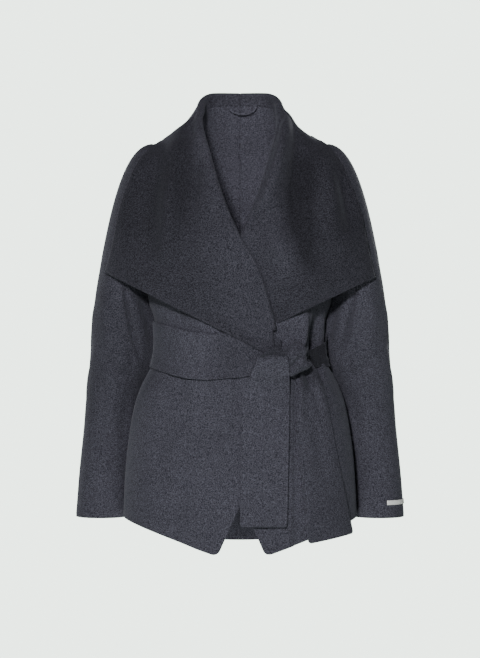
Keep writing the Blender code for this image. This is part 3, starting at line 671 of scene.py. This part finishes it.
# %% Make the fronts
FRONT_CORNER = 10.0
for side, word in SIDES.items():
    grid, keep, rows, inner, neck_k = front_grid(side)
    pinch = front_pinch(grid, rows, inner, neck_k)
    relief = front_relief(grid, side, inner)
    body = grid[:, :inner + 1]
    hem, _, _, front_edge = edge_gaps(body)
    grid[:, :inner + 1] = round_corner(body, hem, front_edge, FRONT_CORNER, -1)
    painted_shade = front_painted_shade(grid, rows, inner) + creases(seen(grid, side), PAINTED_SHADE_MARKS[side])
    cloth("front_" + word, grid, side, keep, relief=relief, pinch=pinch, painted_shade=painted_shade)


# %% [markdown]
# ## Back
#
# The back is cut in two halves with a seam down the middle, which shows inside the neck. Heavy wool hangs
# from the shoulder blades, so the back keeps nearly the dummy's form, with a hollow above the belt and
# soft drag lines from the armholes.

# %% Make the backs
BACK_WIDTH, NECK_SHARE = 250.0, 0.333
BACK_CREASES = {
    RIGHT: [
        ([(-128, -190), (-100, -235), (-62, -280)], -2.2, 9), ([(-40, -312), (-92, -326)], -2, 8),
        ([(-70, -410), (-84, -480), (-92, -560)], -2.4, 12), ([(-30, -90), (-52, -150)], 1.5, 16)],
    LEFT: [
        ([(128, -200), (96, -238), (58, -274)], -2.2, 9), ([(36, -318), (86, -330)], -2, 8),
        ([(62, -410), (72, -470), (76, -540)], -2.4, 12), ([(34, -100), (50, -160)], 1.5, 16)],
}


def back_point(f, row):
    """f runs from the centre back (0) to the side seam or armhole (1)."""
    side_angle, side_z = side_end(row)
    return body_point(side_angle * f, mix(BACK_ROWS.at("centre_z", row), side_z, smooth(f)), BACK)


def back_top_point(f):
    """Neck seam from the centre back, then the shoulder seam out to the sleeve."""
    row = mix(NECK_ROW, SEAM_ROW, np.minimum(f / NECK_SHARE, 1))
    x = mix(NECK_HALF, FRONT_ROWS.at("side_x", SEAM_ROW), (f - NECK_SHARE) / (1 - NECK_SHARE))
    outer = place(x, 0.0, SHOULDER.at("z", np.maximum(x, NECK_HALF)))
    return np.where((f <= NECK_SHARE)[..., None], place(*COLLAR_ROWS.each(SEAM, row)), outer)


def back_grid():
    rows = front_rows()
    rows = rows[rows <= SEAM_ROW]
    f, row = np.meshgrid(stops(BACK_WIDTH, GRID_STEP), rows)
    settle = ramp(row, *SETTLE_ROWS)[..., None]
    return back_point(f, row) + (back_top_point(f) - back_point(f, np.full_like(row, SEAM_ROW))) * settle


for side, word in SIDES.items():
    grid = back_grid()
    hem, *seams = edge_gaps(grid)
    pinch = np.interp(hem, *RIM_WALL)
    for gap in seams:
        pinch = np.minimum(pinch, np.interp(gap, *SEAM_WALL))
    relief = -creases(seen(grid, side), BACK_CREASES[side])
    cloth("back_" + word, grid, side, relief=relief, pinch=pinch)

# %% [markdown]
# ## Sleeves
#
# A sleeve is one tube that hangs from the armhole and bends a little at the elbow. On the inside of the
# elbow the cloth is pushed together, so long folds lie there, slanting down to the wrist. They are given by
# the turn round the sleeve in millimetres (0 is the front middle, more is inwards) and by the height.

# %% Form of a sleeve
SLEEVE = Table("z centre_x centre_y half_x half_y", [
    (-659, 231, 50, 42.5, 42), (-615, 228.5, 54, 42, 42), (-574, 225, 56, 42, 43),
    (-516, 218, 56, 43, 44), (-470, 213.5, 50, 43.5, 46), (-450, 210, 46, 46, 47),
    (-409, 199.8, 34, 50.3, 49), (-360, 195.3, 22, 51, 52), (-335, 194.5, 18, 50.2, 54),
    (-302, 196, 14, 43, 58), (-230, 192.5, 12, 35, 64)])
BICEP_Z, CUFF_Z = -230.0, -663.0
SLEEVE_AROUND, HEAD_LENGTH, HEAD_STEPS = 116, 130.0, 22


def armhole_point(turn):
    """A point on the armhole: 0 at the shoulder, pi / 2 at the front, pi at the underarm."""
    angle, z = side_end(mix(SEAM_ROW, 10.0, (1 - np.cos(turn)) / 2))
    in_front = ((turn > 0) & (turn < pi))[..., None]
    return np.where(in_front, body_point(angle, z, FRONT), body_point(angle, z, BACK))


def sleeve_ring(turn, z, out=0.0):
    """A point on the sleeve's ring: 0 at its outer side, pi / 2 at the front."""
    x, y, half_x, half_y = SLEEVE.each("centre_x centre_y half_x half_y", z)
    return place(x + (half_x + out) * np.cos(turn), y - (half_y + out) * np.sin(turn), z)


def sleeve_grid():
    turn = 2 * pi * np.arange(SLEEVE_AROUND) / SLEEVE_AROUND
    arm_z = mix(CUFF_Z, BICEP_Z, stops(BICEP_Z - CUFF_Z, GRID_STEP, (True, False)))
    turns, z = np.meshgrid(turn, arm_z)
    arm = sleeve_ring(turns, z)
    turns, t = np.meshgrid(turn, stops(HEAD_LENGTH, HEAD_LENGTH / HEAD_STEPS, (False, True))[1:])
    high = (1 + np.cos(turns)) / 2
    start, end = armhole_point(turns), sleeve_ring(turns, np.full_like(turns, BICEP_Z))
    leave = start + (9 + 35 * high)[..., None] * place(1.0, 0.0, 0.01 - 0.2 * (1 - high))
    arrive = end + (8 + 87 * high)[..., None] * place(-0.19 * high, 0.0, 1.0)
    head = bezier(start, leave, arrive, end, 1 - t[..., None])
    return np.concatenate([arm, head])


# %% Make the sleeves
SLEEVE_CREASES = [
    ([(6, -262), (11, -298), (15, -335), (23, -362), (32, -384), (42, -404)], -8, 4),
    ([(26, -290), (33, -335), (44, -368), (58, -395)], 4.5, 9),
    ([(10, -350), (20, -384), (22, -430)], -3, 8),
    ([(-20, -396), (4, -420), (34, -436)], -2.5, 8),
    ([(-26, -300), (-20, -350), (-12, -398)], 2.5, 13),
    ([(30, -440), (26, -500), (30, -560)], -2.5, 10),
    ([(-60, -360), (-75, -400), (-92, -430)], -2.5, 10),
    ([(75, -392), (96, -408), (120, -414)], -3, 8),
    ([(-100, -250), (-88, -300), (-90, -350)], -2, 11),
    ([(96, -330), (112, -350), (138, -352)], -2.5, 8),
    ([(80, -262), (80, -330), (80, -395), (84, -462)], 8, 18),
]
# Painted shade on the right sleeve, growing from the forearm up to below the elbow and even above that; the
# left sleeve has none.
SLEEVE_PAINTED_SHADE = {RIGHT: 0.28, LEFT: 0.0}
CREASES_BELOW, SLEEVE_SHADE_RISES = (-235, -275), (-560, -440)
for side, word in SIDES.items():
    grid = sleeve_grid()
    cuff, head = edge_gaps(grid)[:2]
    pinch = np.minimum(np.interp(cuff, *RIM_WALL), np.interp(head, *SEAM_WALL))
    ring = run_length(grid, 1)
    front_middle = ring[:, [SLEEVE_AROUND // 4]]
    flat = np.stack([ring - front_middle, grid[..., 2]], axis=-1)
    relief = -creases(flat, SLEEVE_CREASES) * ramp(grid[..., 2], *CREASES_BELOW)
    painted_shade = SLEEVE_PAINTED_SHADE[side] * ramp(grid[..., 2], *SLEEVE_SHADE_RISES)
    cloth("sleeve_" + word, grid, side, closed=True, relief=relief, pinch=pinch, painted_shade=painted_shade)

# %% [markdown]
# ## Belt, knot and tails
#
# The belt is one long strip of the coat's cloth, folded and stitched along its edges. It is tied once on
# the wearer's left: one end comes out in front of the knot and falls nearly straight, the other leaves it
# to the side and fans out. The strip is drawn in the four stretches that show.

# %% Belt
BELT = Table("turn z width out", [
    (-21, -390, 46, 17), (-8, -389, 66, 16), (3, -391, 74, 15.5), (14, -394, 74, 15.5),
    (24, -392, 74, 15), (35, -388, 74, 12), (50, -382, 74, 6.5), (70, -377, 74, 4.4),
    (90, -374, 74, 4.1), (180, -370, 74, 4), (250, -372, 74, 4.1), (270, -384, 56, 4.1),
    (282, -391, 40, 4.1), (288, -393, 36, 0), (296, -396, 32, -4), (306, -398, 28, -4),
    (316, -399, 26, -1)])
BELT_START, BELT_END = 316.0, -21.0
# Painted shade on the belt: full on its end beside the knot, towards the sleeve, and a lighter amount where
# it runs into the knot from the front; the knot itself gets that lighter amount.
BELT_SHADED_END, BELT_SHADED_NEAR_KNOT, KNOT_PAINTED_SHADE = (270, 279), (22, 2), 0.3
BELT_LENGTH, BELT_WIDTH = 860.0, 74.0
BELT_SCALE = (2.4, BELT_WIDTH)
BELT_CREASES = [
    ([(-19, 0.80), (-12, 0.66), (-3, 0.58), (8, 0.56)], -2.2, 4),
    ([(-20, 0.35), (-10, 0.40), (0, 0.42)], -1.8, 4),
    ([(28, 0.30), (44, 0.36), (58, 0.40)], -1.2, 4.5), ([(36, 0.78), (52, 0.70)], -1, 4),
    ([(300, 0.6), (312, 0.52)], -1.5, 4), ([(150, 0.4), (175, 0.44)], -1, 5),
    ([(200, 0.66), (232, 0.6)], -1, 5), ([(262, 0.34), (285, 0.4)], -1.2, 5)]


def belt_point(turn, v):
    """turn is in degrees from the front centre towards the wearer's right; v runs up the belt."""
    middle, width = BELT.each("z width", turn)
    z = middle + (v - 0.5) * width
    across, along = np.sin(np.radians(turn)), np.cos(np.radians(turn))
    half, front, back = BODY.each("half front back", z) + BELT.at("out", turn)
    x = -half * np.abs(across) ** RING_POWER * np.sign(across)
    y = -np.where(along > 0, front, back) * np.abs(along) ** RING_POWER * np.sign(along)
    return place(x, y, z)


turn, v = np.meshgrid(mix(BELT_START, BELT_END, stops(BELT_LENGTH, 3.2, (False, False))),
                      stops(BELT_WIDTH, 2.8))
grid = belt_point(turn, v)
relief = creases(np.stack([turn, v], axis=-1) * BELT_SCALE,
                 [(np.array(path) * BELT_SCALE, depth, width) for path, depth, width in BELT_CREASES])
# The belt's painted shade near the knot.
painted_shade = ramp(turn, *BELT_SHADED_END) + KNOT_PAINTED_SHADE * ramp(turn, *BELT_SHADED_NEAR_KNOT)
pinch = np.interp(np.minimum.reduce(edge_gaps(grid)), *RIM_WALL)
cloth("belt", grid, LEFT, relief=relief, pinch=pinch, painted_shade=painted_shade)

# %% Tails
FRONT_TAIL = Table("step left right y z_left z_right", [
    (0, 57, 64, -126, -386, -386), (1, 55, 63, -134, -378, -378.5), (2, 42, 69, -140, -384, -386),
    (3, 31, 76, -142.5, -393, -396), (4, 17, 78.5, -142.5, -422, -423), (5, 5, 79, -140, -448, -449),
    (6, 1, 78.5, -137, -500, -501), (7, 0.5, 77, -135, -570, -570), (8, 0, 75, -138, -663, -664)])
BACK_TAIL = Table("step left right z_left z_right out", [
    (0, 90, 103, -392, -388, 17), (1, 95, 117, -411, -408, 11), (2, 95, 128, -436, -431, 7.5),
    (3, 91.5, 138, -466, -458, 6.5), (4, 90, 146, -505, -497, 6), (5, 95, 156, -560, -550, 6),
    (6, 102, 170, -627, -616, 6), (7, 109, 183, -692, -680, 6)])
FRONT_TAIL_CREASES = [
    ([(34, -397), (50, -391), (62, -388), (76, -396)], -6.5, 5),
    ([(30, -412), (34, -432), (34, -470)], -1.5, 8),
    ([(64, -404), (66, -440), (64, -500)], 1.5, 9)]
BACK_TAIL_CREASES = [
    ([(104, -404), (109, -424), (117, -452)], -7, 6.5),
    ([(113, -410), (124, -436), (134, -468), (140, -500)], 3, 5.5),
    ([(97, -420), (97, -460), (100, -520)], 2, 5),
    ([(118, -480), (126, -540), (134, -590)], -2, 9)]
TAIL_WIDTH, TAIL_LENGTH, TAIL_CORNER = 70.0, 300.0, 6.0
FRONT_TAIL_OUT, FOLD_STEPS = 12.5, (2.5, 5.5)
# Painted shade on the tails: a dark band across the top of each, where it comes out of the knot, and a
# light even amount on the back tail.
TAIL_PAINTED_SHADE = {"tail_front": (0.0, 0.7, -400, -390), "tail_back": (0.15, 0.65, -450, -428)}


def tail_grid(table, depth_at):
    last = table.rows[-1][0]
    t, step = np.meshgrid(stops(TAIL_WIDTH, 2.8), last * (1 - stops(TAIL_LENGTH, 3.2, (True, False))))
    x, z = mix(*table.each("left right", step), t), mix(*table.each("z_left z_right", step), t)
    return place(x, depth_at(x, z, step), z)


def front_tail_depth(x, z, step):
    """At its fold the tail stands off the belt, and further down it lies on the skirt."""
    return mix(FRONT_TAIL.at("y", step), -body_depth(x, z, FRONT, FRONT_TAIL_OUT), ramp(step, *FOLD_STEPS))


def back_tail_depth(x, z, step):
    return -body_depth(x, z, FRONT, BACK_TAIL.at("out", step))


for name, table, depth_at, marks in (("tail_front", FRONT_TAIL, front_tail_depth, FRONT_TAIL_CREASES),
                                     ("tail_back", BACK_TAIL, back_tail_depth, BACK_TAIL_CREASES)):
    grid = tail_grid(table, depth_at)
    end, _, left, right = edge_gaps(grid)
    pinch = np.interp(np.minimum.reduce([end, left, right]), *RIM_WALL)
    grid = round_corner(grid, end, left, TAIL_CORNER, 1)
    grid = round_corner(grid, end, right, TAIL_CORNER, -1)
    # Painted shade, darker at the tail's top.
    plain, shaded, *fold = TAIL_PAINTED_SHADE[name]
    painted_shade = mix(plain, shaded, ramp(grid[..., 2], *fold))
    cloth(name, grid, LEFT, relief=creases(seen(grid), marks), pinch=pinch, painted_shade=painted_shade)

# %% [markdown]
# The knot is the strip's own wrap: it comes up from behind, turns over at the top and is pulled in to a
# point below. It is drawn as a cup of the same cloth, open at the back where the belt goes in, with
# folds that run from the top of the wrap down to that point.

# %% Knot
KNOT_MIDDLE_Y, KNOT_LOW, KNOT_HIGH = -120.0, -424.8, -369.2
KNOT = Table("z left right front back", [
    (-425, 79, 82, 3, 8), (-419, 76, 93, 7, 14), (-412, 74, 108, 8, 20), (-407, 72, 112, 10, 22),
    (-401, 70, 106, 13, 24), (-394, 69, 104, 15, 25), (-387, 70, 103.5, 15, 24), (-380, 76, 101, 12, 22),
    (-374, 84, 98, 8, 18), (-369, 88, 95, 4, 14)])
KNOT_CREASES = [
    ([(103, -388), (95, -395), (86, -405), (80, -414)], -4.5, 3.2),
    ([(80, -382), (87, -388), (97, -387)], -2.5, 2.6),
    ([(97, -374), (102, -384), (101, -393)], 2.5, 2.8),
    ([(88, -410), (98, -408), (108, -409)], 2, 3)]
KNOT_TURN, KNOT_COLUMNS, KNOT_LINES = 0.78, 96, 72


def knot_grid():
    """Rings round the knot from its point (below) to its top, open at the back."""
    turn, z = np.meshgrid(pi * np.linspace(-KNOT_TURN, KNOT_TURN, KNOT_COLUMNS),
                          mix(KNOT_LOW, KNOT_HIGH, smooth(np.linspace(0, 1, KNOT_LINES))))
    reach = np.where(np.cos(turn) > 0, *KNOT.each("front back", z))
    x = mix(*KNOT.each("left right", z), (1 + np.sin(turn)) / 2)
    return place(x, KNOT_MIDDLE_Y - reach * np.cos(turn), z)


grid = knot_grid()
pinch = np.interp(np.minimum.reduce(edge_gaps(grid)), *SEAM_WALL)
# The knot gets an even painted shade, the same as the belt where it runs into the knot from the front.
cloth("knot", grid, LEFT, relief=creases(seen(grid), KNOT_CREASES), pinch=pinch, painted_shade=KNOT_PAINTED_SHADE)

# %% [markdown]
# ## Hanger loop and cuff label
#
# The hanger loop is a folded band sewn into the neck seam. The label is a short white band, woven with
# nothing on it, that is stitched round the outside of the left cuff.

# %% Loop and label
LOOP_X, LOOP_Z, LOOP_HALF, LOOP_DROP = 4.5, 26.0, 22.5, 16.0
LOOP_WIDTH, LOOP_WALL, LOOP_INSIDE, LOOP_SAG = 4.0, 2.0, 2.9, 7.0
turn, edge = np.meshgrid(np.linspace(0, pi, 60), np.linspace(0.5, -0.5, 7))
half, drop = LOOP_HALF + edge * LOOP_WIDTH, LOOP_DROP + edge * LOOP_WIDTH
x = LOOP_X - half * np.cos(turn)
neck = COLLAR_ROWS.at("seam_y", NECK_ROW) * np.sqrt(1 - (x / NECK_HALF) ** 2)
grid = place(x, neck - LOOP_INSIDE - LOOP_SAG * np.sin(turn), LOOP_Z - drop * np.sin(turn) ** 0.9)
cloth("hanger_loop", grid, LEFT, wall=LOOP_WALL)

LABEL_Z, LABEL_HEIGHT, LABEL_TURNS, LABEL_OUT, LABEL_WALL = -637.5, 7.5, (72.0, -35.0), 2.2, 1.0
turn, up = np.meshgrid(np.radians(np.linspace(*LABEL_TURNS, 60)), np.linspace(-0.5, 0.5, 9))
cloth("cuff_label", sleeve_ring(turn, LABEL_Z + up * LABEL_HEIGHT, LABEL_OUT), LEFT, wall=LABEL_WALL)

# %% [markdown]
# ## Materials
#
# The cloth is a **double-faced wool melton**: woven, then felted and brushed, so that no weave shows and
# the eye gets a dull, soft surface with a pale fuzz where it turns away. Its charcoal is a melange of
# darker and lighter fibres. A real fleck is half a millimetre wide; it is drawn about 2 mm wide here,
# because nothing smaller would show from three metres away.

# %% Node helper and colours
def linear(colour):
    """sRGB hex to linear light."""
    parts = [int(colour[n:n + 2], 16) / 255 for n in (1, 3, 5)]
    return (*(p / 12.92 if p <= 0.04045 else ((p + 0.055) / 1.055) ** 2.4 for p in parts), 1.0)


def add(nodes, kind, sockets=(), **settings):
    """Add a node, set its own settings and its sockets, and link what is given as a socket."""
    node = nodes.new("ShaderNode" + kind)
    for name, value in settings.items():
        setattr(node, name, value)
    for name, value in dict(sockets).items():
        socket = node.inputs[name] if isinstance(name, int) else next(
            s for s in node.inputs if s.name == name and s.enabled)
        if isinstance(value, bpy.types.NodeSocket):
            nodes.id_data.links.new(value, socket)
        else:
            socket.default_value = value
    return node


def new_material(name, settings):
    """A material, its nodes and its shader, which gets the given settings."""
    material = bpy.data.materials.new(name)
    material.use_nodes = True
    nodes = material.node_tree.nodes
    shader = nodes["Principled BSDF"]
    for socket, value in settings.items():
        shader.inputs[socket].default_value = value
    return material, nodes, shader


# %% Double-faced wool melton
FLECK, FUZZ = 0.0016, 0.0007
# How dark the cloth gets where its painted shade is deepest.
DARKEST_PAINTED_SHADE = 0.34
wool, nodes, shader = new_material("double-faced wool melton", {
    "Roughness": 0.95, "Specular IOR Level": 0.15, "Sheen Weight": 0.2, "Sheen Roughness": 0.5,
    "Sheen Tint": linear("#a9abb8")})
where = add(nodes, "TexCoord").outputs["Object"]
fleck = add(nodes, "TexNoise", {"Vector": where, "Scale": 1 / FLECK, "Detail": 2.0, "Roughness": 0.7})
cloud = add(nodes, "TexNoise", {"Vector": where, "Scale": 14.0, "Detail": 3.0})
tone = add(nodes, "ValToRGB", {"Fac": fleck.outputs["Fac"]})
for mark, at, colour in zip(tone.color_ramp.elements, (0.35, 0.67), ("#222129", "#605f6b")):
    mark.position, mark.color = at, linear(colour)
soft = add(nodes, "MapRange", {"Value": cloud.outputs["Fac"], "From Min": 0.3, "From Max": 0.7,
                               "To Min": 0.93, "To Max": 1.07})
# Painted shade: the number each point carries darkens the base colour, from none at 0 to the darkest at 1.
painted_shade_attribute = add(nodes, "Attribute", attribute_name="painted_shade").outputs["Fac"]
darker = add(nodes, "MapRange", {"Value": painted_shade_attribute, "To Min": 1.0, "To Max": DARKEST_PAINTED_SHADE})
both = add(nodes, "Math", {0: soft.outputs["Result"], 1: darker.outputs["Result"]}, operation="MULTIPLY")
shade = add(nodes, "Mix", {"Factor": 1.0, "A": tone.outputs["Color"], "B": both.outputs["Value"]},
            data_type="RGBA", blend_type="MULTIPLY")
links = wool.node_tree.links
links.new(shade.outputs[2], shader.inputs["Base Color"])
fuzz = add(nodes, "TexNoise", {"Vector": where, "Scale": 1 / FUZZ, "Detail": 2.0})
bump = add(nodes, "Bump", {"Height": fuzz.outputs["Fac"], "Strength": 0.35, "Distance": 0.0006})
links.new(bump.outputs["Normal"], shader.inputs["Normal"])

# %% [markdown]
# The label is **woven polyester tape**: a bright, slightly silky white with a fine rib across it.

# %% Woven label tape
RIB = 0.0012
tape, nodes, shader = new_material("woven label tape", {"Base Color": linear("#fbfbf9"), "Roughness": 0.6})
where = add(nodes, "TexCoord").outputs["Object"]
rib = add(nodes, "TexWave", {"Vector": where, "Scale": 0.05 / RIB, "Distortion": 0.3}, bands_direction="Z")
bump = add(nodes, "Bump", {"Height": rib.outputs["Fac"], "Strength": 0.3, "Distance": 0.0003})
tape.node_tree.links.new(bump.outputs["Normal"], shader.inputs["Normal"])

# %% [markdown]
# ## Into the frame
#
# Each piece stands for the imported solid of the same name, moves with the coat's only body, and takes its
# finish from a material slot.

for name, piece in PIECES.items():
    label = name == "cuff_label"
    piece.data.materials.append(tape if label else wool)
    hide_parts(name)
    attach(piece, "root")

# %% [markdown]
# ## Floor, light and camera
#
# The coat hangs above a pale paper floor, in a pale room. In a studio the paper is often lit by itself,
# until it shows no edge and no shadow. So the camera sees floor and air in one colour, and what lights
# the coat are the lamps, the floor and a dimmer room that is darkest overhead. A small card under the hem
# throws some light up inside the skirt.

# %% Floor and room
PALE, PALE_STRENGTH = "#dde9df", 4.5
ROOM_BELOW, ROOM_ABOVE, ROOM_STRENGTH = "#f2f3f6", "#3c3d42", 0.11
FLOOR_Z, FLOOR_HALF = -0.95, 40


def seen_as_paper(tree, surface, output):
    """The camera sees plain pale paper, and everything else sees the given surface."""
    paper = add(tree.nodes, "Emission" if output.bl_idname.endswith("Material") else "Background",
                {"Color": linear(PALE), "Strength": PALE_STRENGTH})
    seen = add(tree.nodes, "LightPath").outputs["Is Camera Ray"]
    either = add(tree.nodes, "MixShader", {0: seen, 1: surface, 2: paper.outputs[0]})
    tree.links.new(either.outputs["Shader"], output.inputs["Surface"])


floor_mesh = bpy.data.meshes.new("floor")
corners = [(x * FLOOR_HALF, y * FLOOR_HALF, FLOOR_Z) for x, y in ((-1, -1), (1, -1), (1, 1), (-1, 1))]
floor_mesh.from_pydata(corners, [], [(0, 1, 2, 3)])
floor = put("floor", floor_mesh)
paper, nodes, shader = new_material("pale paper floor", {
    "Base Color": linear(PALE), "Roughness": 1.0, "Specular IOR Level": 0.0})
seen_as_paper(paper.node_tree, shader.outputs[0], nodes["Material Output"])
floor_mesh.materials.append(paper)

world = bpy.data.worlds.new("pale room")
bpy.context.scene.world = world
world.use_nodes = True
nodes = world.node_tree.nodes
upwards = add(nodes, "SeparateXYZ", {"Vector": add(nodes, "TexCoord").outputs["Generated"]}).outputs["Z"]
height = add(nodes, "MapRange", {"Value": upwards, "From Min": -0.7, "From Max": 0.7})
room = {"Factor": height.outputs["Result"], "A": linear(ROOM_BELOW), "B": linear(ROOM_ABOVE)}
shade = add(nodes, "Mix", room, data_type="RGBA")
air = nodes["Background"]
world.node_tree.links.new(shade.outputs[2], air.inputs["Color"])
air.inputs["Strength"].default_value = ROOM_STRENGTH
seen_as_paper(world.node_tree, air.outputs[0], nodes["World Output"])


# %% Lamps and a narrow neck light
def aimed(name, light, at, towards):
    """Put a light in the scene, turned towards a point."""
    stand = put(name, light, at)
    stand.rotation_euler = (Vector(towards) - stand.location).to_track_quat("-Z", "Y").to_euler()
    return stand


def lamp(name, at, towards, size, watts):
    """A round lamp that the camera doesn't see."""
    light = bpy.data.lights.new(name, "AREA")
    light.shape, light.size, light.energy = "DISK", size, watts
    aimed(name, light, at, towards).visible_camera = False


COAT_MIDDLE = (0.0, 0.0, -0.35)
SKIRT = (0.0, -0.1, -0.6)
NECK = (0.0, 0.05, -0.055)
INSIDE_HEM = (0.0, 0.1, -0.66)
lamp("window light", (-0.32, -2.9, 0.3), COAT_MIDDLE, 0.25, 64.0)
lamp("front light", (-0.5, -3.1, -0.45), COAT_MIDDLE, 0.3, 3.0)
lamp("low light", (-0.4, -2.3, -1.05), SKIRT, 0.5, 8.0)
lamp("back light", (1.2, 2.6, 0.5), COAT_MIDDLE, 0.8, 60.0)
lamp("side light", (-2.4, 2.0, 0.0), COAT_MIDDLE, 0.8, 26.0)
lamp("card under the hem", (0.0, -0.03, -0.92), INSIDE_HEM, 0.16, 0.4)

beam = bpy.data.lights.new("neck light", "SPOT")
beam.energy, beam.spot_size, beam.spot_blend, beam.shadow_soft_size = 100.0, radians(4.2), 1.0, 0.02
aimed("neck light", beam, (0.0, -3.0, 0.0), NECK)

# %% Camera
PICTURE_HEIGHT, MM_PER_PIXEL, DISTANCE, SENSOR = 658, 1.65, 3.2, 24.0
EYE = (0.0, -DISTANCE, -0.3498)
lens = bpy.data.cameras.new("camera")
lens.sensor_fit, lens.sensor_height = "VERTICAL", SENSOR
lens.lens = SENSOR * DISTANCE / (PICTURE_HEIGHT * MM_PER_PIXEL * MM)
camera = put("camera", lens, EYE)
camera.rotation_euler = (radians(90), 0, 0)
bpy.context.scene.camera = camera
print("lens %.1f mm" % lens.lens)
